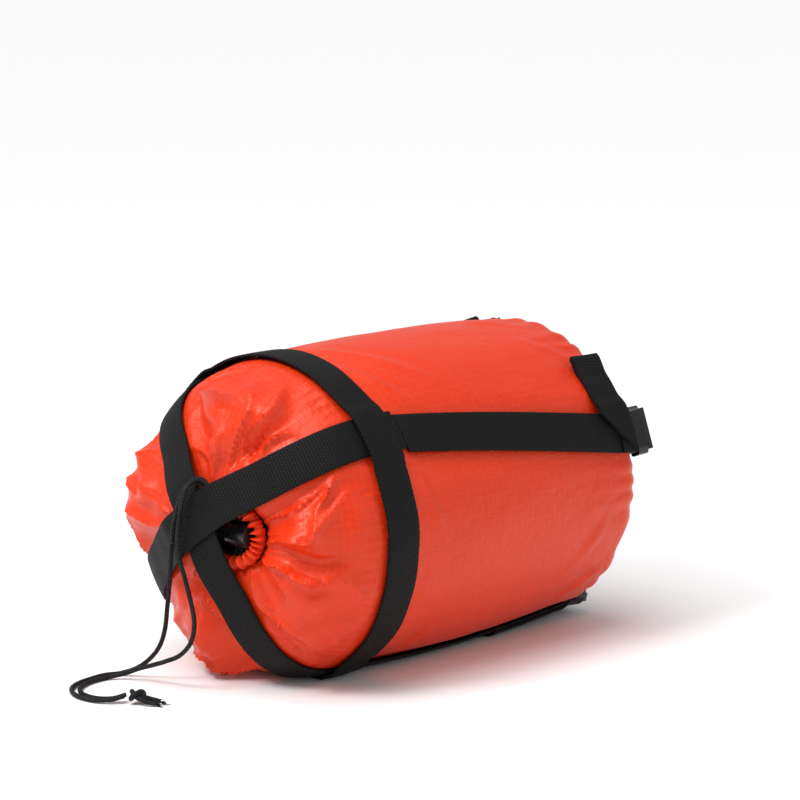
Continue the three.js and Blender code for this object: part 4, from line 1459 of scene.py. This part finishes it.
@dataclass
class SideStrap:
    """One strap along the sack: its run, its turn through the lock, its tail, lock and anchor loop."""

    form: Form
    strap: Strap
    lock: bpy.types.Object
    columns: int = 9
    band: float = 66 * MM
    turned_end: float = 12 * MM
    end_lift: float = 3.5 * MM
    length: float = 22.0
    thick: float = 3.6
    bar: float = 3.6
    lift: float = 4.4
    eye: float = 2.8
    shorten: tuple[float, float] = (-55 * MM, 55 * MM)

    @property
    def v(self) -> Array:
        """Places across the webbing."""
        return np.linspace(-0.5, 0.5, self.columns)[None] * self.form.web_width

    def on_side(self, x: Array, v: Array, level: float, floor: Callable[[Array, Array], Array]) -> Array:
        """The middle layer of a strap on the tube."""
        f = self.form
        phi = f.strap_angle(self.strap, x) + v / f.tube_radius(x)
        return f.on_tube(x, phi, f.gap + level * f.layer + f.web / 2, floor(x, phi) + f.web / 2)

    def on_shoulder(
        self, theta: Array, v: Array, level: float, floor: Callable[[Array, Array], Array]
    ) -> Array:
        """The middle layer of a strap round the base shoulder."""
        f = self.form
        rho = f.base.shoulder(theta)
        under = floor(np.array(f.base_x), np.array(self.strap.base)) + f.web / 2
        return f.on_end(f.base, rho, self.strap.base + v / rho, f.gap + level * f.layer + f.web / 2, under)

    def run(self) -> bpy.types.Object:
        """Makes the run along the tube."""
        f = self.form
        x = np.linspace(f.hoop_x + 10 * MM, f.base_x, 90)[:, None]
        x[:8] = np.linspace(f.hoop_x + 17 * MM, x[8, 0], 8, endpoint=False)[:, None]
        theta = np.linspace(0, f.run_end, 8)[1:, None]
        side = self.on_side(x, self.v, 0, f.run_floor)
        points = np.concatenate([side, self.on_shoulder(theta, self.v, 0, f.run_floor)])
        piece = webbing_strip(f"run_{self.strap.name}", points, f.web)
        dress(piece, Finish.RUN_WEB, f"side_run_{self.strap.name}")
        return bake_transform(piece)

    def tail(self) -> bpy.types.Object:
        """Makes the tail: folded at 45 degrees and laid round the sack, or straight back along its run."""
        f = self.form
        v = self.v

        def none(_x: Array, phi: Array) -> Array:
            """No floor below the strap."""
            return np.zeros_like(phi)

        theta = np.linspace(f.run_end, 0, 8)[:-1, None]
        rows = [self.on_shoulder(theta, v, 1, none)]
        if self.strap.folded:
            half = f.web_width / 2
            middle = f.base_x - 3 * MM
            corner = middle - v
            share = np.linspace(0, 1, 14)[:, None]
            rows.append(self.on_side(lerp(f.base_x, corner, share), v, 1, none))

            def on_band(s: Array, h: Array) -> Array:
                """Places on the part laid round the sack."""
                phi = f.strap_angle(self.strap, middle) + s / f.radius
                return f.on_tube(corner, phi, h + f.web / 2)

            s = lerp(v + 0.8 * MM, self.band - half, np.linspace(0, 1, 48)[:, None] ** 1.1)
            off_run = ease((s - half - 2 * MM) / (12 * MM))
            level = f.gap + f.layer * (2.02 - 1.7 * off_run)
            lift = self.end_lift * ease((s - (self.band - half - 14 * MM)) / (14 * MM))
            rows.append(on_band(s, level + lift))
            back = np.linspace(0, 1, 12)[:, None]
            s = self.band - half - self.turned_end * back
            lift = self.end_lift * ease((s - (self.band - half - 14 * MM)) / (14 * MM))
            gather = f.gap + 0.3 * f.layer - f.layer * ease(back * 12) * 0.85
            rows.append(on_band(s + 0 * v, np.maximum(gather + lift, f.gap) + 0 * v))
        else:
            x = np.linspace(f.base_x, f.base_x - f.tail_length, 40)[:, None]
            rows.append(self.on_side(x, v, 1, none))
        piece = webbing_strip(f"strap_tail_{self.strap.name}", np.concatenate(rows), f.web)
        dress(piece, Finish.RUN_WEB, f"tail_{self.strap.name}")
        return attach(piece, "base")

    def turned(self, name: str, place: LockPlace, line: list[tuple[float, float]]) -> bpy.types.Object:
        """A strip of webbing that follows a line in the lock's own (t, n)."""
        path = catmull(line, 0.7)
        points = place.at(path[:, :1], path[:, 1:], self.v / MM)
        return webbing_strip(name, points, self.form.web)

    def turn(self, place: LockPlace) -> bpy.types.Object:
        """Makes the strap's turn round the lock's middle bar."""
        f = self.form
        gap, web, layer = f.gap / MM, f.web / MM, f.layer / MM
        top = self.lift + self.thick + 2 * gap + web / 2
        middle = self.lift + self.thick / 2
        through = self.bar / 2 + 2 * gap + web / 2
        start = f.run_end - math.radians(0.5)
        line = [
            place.flat(start, (gap + web / 2) * MM), (-7, 0.7), (-1, 1.4), (through - 0.3, middle - 2.3),
            (through, middle), (through - 0.6, top - 0.9), (0, top), (0.6 - through, top - 0.9),
            (-through, middle),
            (-through - 1, middle - 2), (-8.5, 2.9), place.flat(start, (gap + layer + web / 2) * MM),
        ]
        piece = self.turned(f"strap_turn_{self.strap.name}", place, line)
        dress(piece, Finish.RUN_WEB, f"lock_turn_{self.strap.name}")
        start_at, end_at = place.at(np.array([-13.0, -4.0]), np.array([2.0, 2.0]), np.array([0.0, 0.0]))
        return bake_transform(piece)

    def anchor(self, place: LockPlace) -> bpy.types.Object:
        """Makes the sewn loop that holds the lock's fixed bar."""
        f = self.form
        gap, web, layer = f.gap / MM, f.web / MM, f.layer / MM
        pivot_t, pivot_n = self.length / 2 - self.bar / 2, self.lift + self.thick / 2
        reach = self.eye + web / 2
        turn = -math.pi * (0.5 + np.linspace(0, 1, 9))
        eye = [(pivot_t + reach * math.cos(a), pivot_n + reach * math.sin(a)) for a in turn]
        middle = f.lock_theta + f.loop_end
        line = [
            place.flat(f.loop_end, (gap + web / 2) * MM),
            place.flat(middle * 0.56, (gap + 0.4 + web / 2) * MM),
            *eye,
            place.flat(middle * 0.58, (2 * layer + web) * MM),
            place.flat(f.loop_end, (gap + layer + web / 2) * MM),
        ]
        piece = self.turned(f"anchor_{self.strap.name}", place, line)
        dress(piece, Finish.RUN_WEB, f"anchor_loop_{self.strap.name}")
        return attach(piece, "base")

    def set_lock(self, place: LockPlace) -> bpy.types.Object:
        """Puts a copy of the ladder lock on the base."""
        piece = self.lock.copy()
        piece.data = self.lock.data.copy()
        piece.name = f"lock_{self.strap.name}_frame"
        bpy.context.scene.collection.objects.link(piece)
        piece.matrix_world = place.matrix()
        settle(piece)
        dress(piece, Finish.MOULDING, f"ladder_lock_{self.strap.name}")
        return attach(piece, f"lock_{self.strap.name}")

    def build(self) -> None:
        """Makes every piece of this strap."""
        place = LockPlace(self.form, self.strap)
        self.run()
        self.tail()
        self.turn(place)
        self.anchor(place)
        self.set_lock(place)


@dataclass
class LadderLock:
    """The three-bar lock, drawn flat."""

    width: float = 31 * MM
    length: float = 22 * MM
    thick: float = 3.6 * MM
    bar: float = 3.6 * MM
    slot_width: float = 26.4 * MM
    corner: float = 5 * MM
    lift: float = 4.4 * MM

    def build(self) -> bpy.types.Object:
        """Makes the lock from a block, with rounded corners and two slots."""
        middle = self.lift + self.thick / 2
        bpy.ops.object.select_all(action="DESELECT")
        block = (self.width, self.length, self.thick)
        bpy.ops.mesh.primitive_cube_add(size=1, location=(0, 0, middle), scale=block)
        piece = settle(bpy.context.object)
        piece.name = "ladder_lock"
        bpy.ops.object.mode_set(mode="EDIT")
        bpy.ops.mesh.select_all(action="DESELECT")
        bpy.ops.object.mode_set(mode="OBJECT")
        for edge in piece.data.edges:
            a, b = (piece.data.vertices[i].co for i in edge.vertices)
            edge.select = abs(a.z - b.z) > self.thick / 2
        bpy.ops.object.mode_set(mode="EDIT")
        bpy.ops.mesh.bevel(offset=self.corner, segments=8, affect="EDGES")
        bpy.ops.object.mode_set(mode="OBJECT")
        slot = (self.length - 3 * self.bar) / 2
        for side in (-1, 1):
            bpy.ops.object.select_all(action="DESELECT")
            place, block = (0, side * (self.bar + slot) / 2, middle), (self.slot_width, slot, 4 * self.thick)
            bpy.ops.mesh.primitive_cube_add(size=1, location=place, scale=block)
            recess(piece, settle(bpy.context.object))
        round_edges(piece, 0.7 * MM, 3, 40)
        return smooth(piece, 35)


@dataclass
class BaseStraps:
    """The webbing sewn in a cross over the base."""

    form: Form
    columns: int = 9

    def strip(self, name: str, first: float, second: float, over: bool) -> bpy.types.Object:
        """Makes one strip between two opposite anchor loops."""
        f = self.form
        q = np.linspace(1, -1, 60)[:, None]
        v = np.linspace(-0.5, 0.5, self.columns)[None] * f.web_width
        rho = np.sign(q) * f.base.shoulder(lerp(math.pi / 2, f.loop_end + math.radians(0.8), np.abs(q)))
        phi = lerp(second - math.pi, first, ease((q + 1) / 2))
        lift = f.gap + (f.layer * (1 - ease((np.abs(rho) - 16 * MM) / (12 * MM))) if over else 0.0)
        y, z = -rho * np.cos(phi) + v * np.sin(phi), rho * np.sin(phi) + v * np.cos(phi)
        points = f.on_end(f.base, np.hypot(y, z), np.arctan2(z, -y), lift + f.web / 2)
        piece = webbing_strip(name.replace("strap", "web"), points, f.web)
        dress(piece, Finish.RUN_WEB, name)
        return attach(piece, "base")

    def build(self) -> None:
        """Makes both strips."""
        near_top, far_top, far_bottom, near_bottom = self.form.straps
        self.strip("base_strap_a", near_top.base, far_bottom.base + 2 * math.pi, False)
        self.strip("base_strap_b", near_bottom.base, far_top.base, True)


def main() -> None:
    """Builds the sack and its studio."""
    form = Form()
    studio = Studio()
    studio.place_camera(Vector((form.hoop_x, 0, 95 * MM)))
    Drawcord(form).build()
    CordLock(form).build()
    Shell(form).build()
    Contents(form).build()
    CrossedStraps(form).build()
    lock = LadderLock().build()
    for strap in form.straps:
        SideStrap(form, strap, lock).build()
    bpy.data.objects.remove(lock)
    BaseStraps(form).build()
    studio.light()


if __name__ == "__main__":
    main()
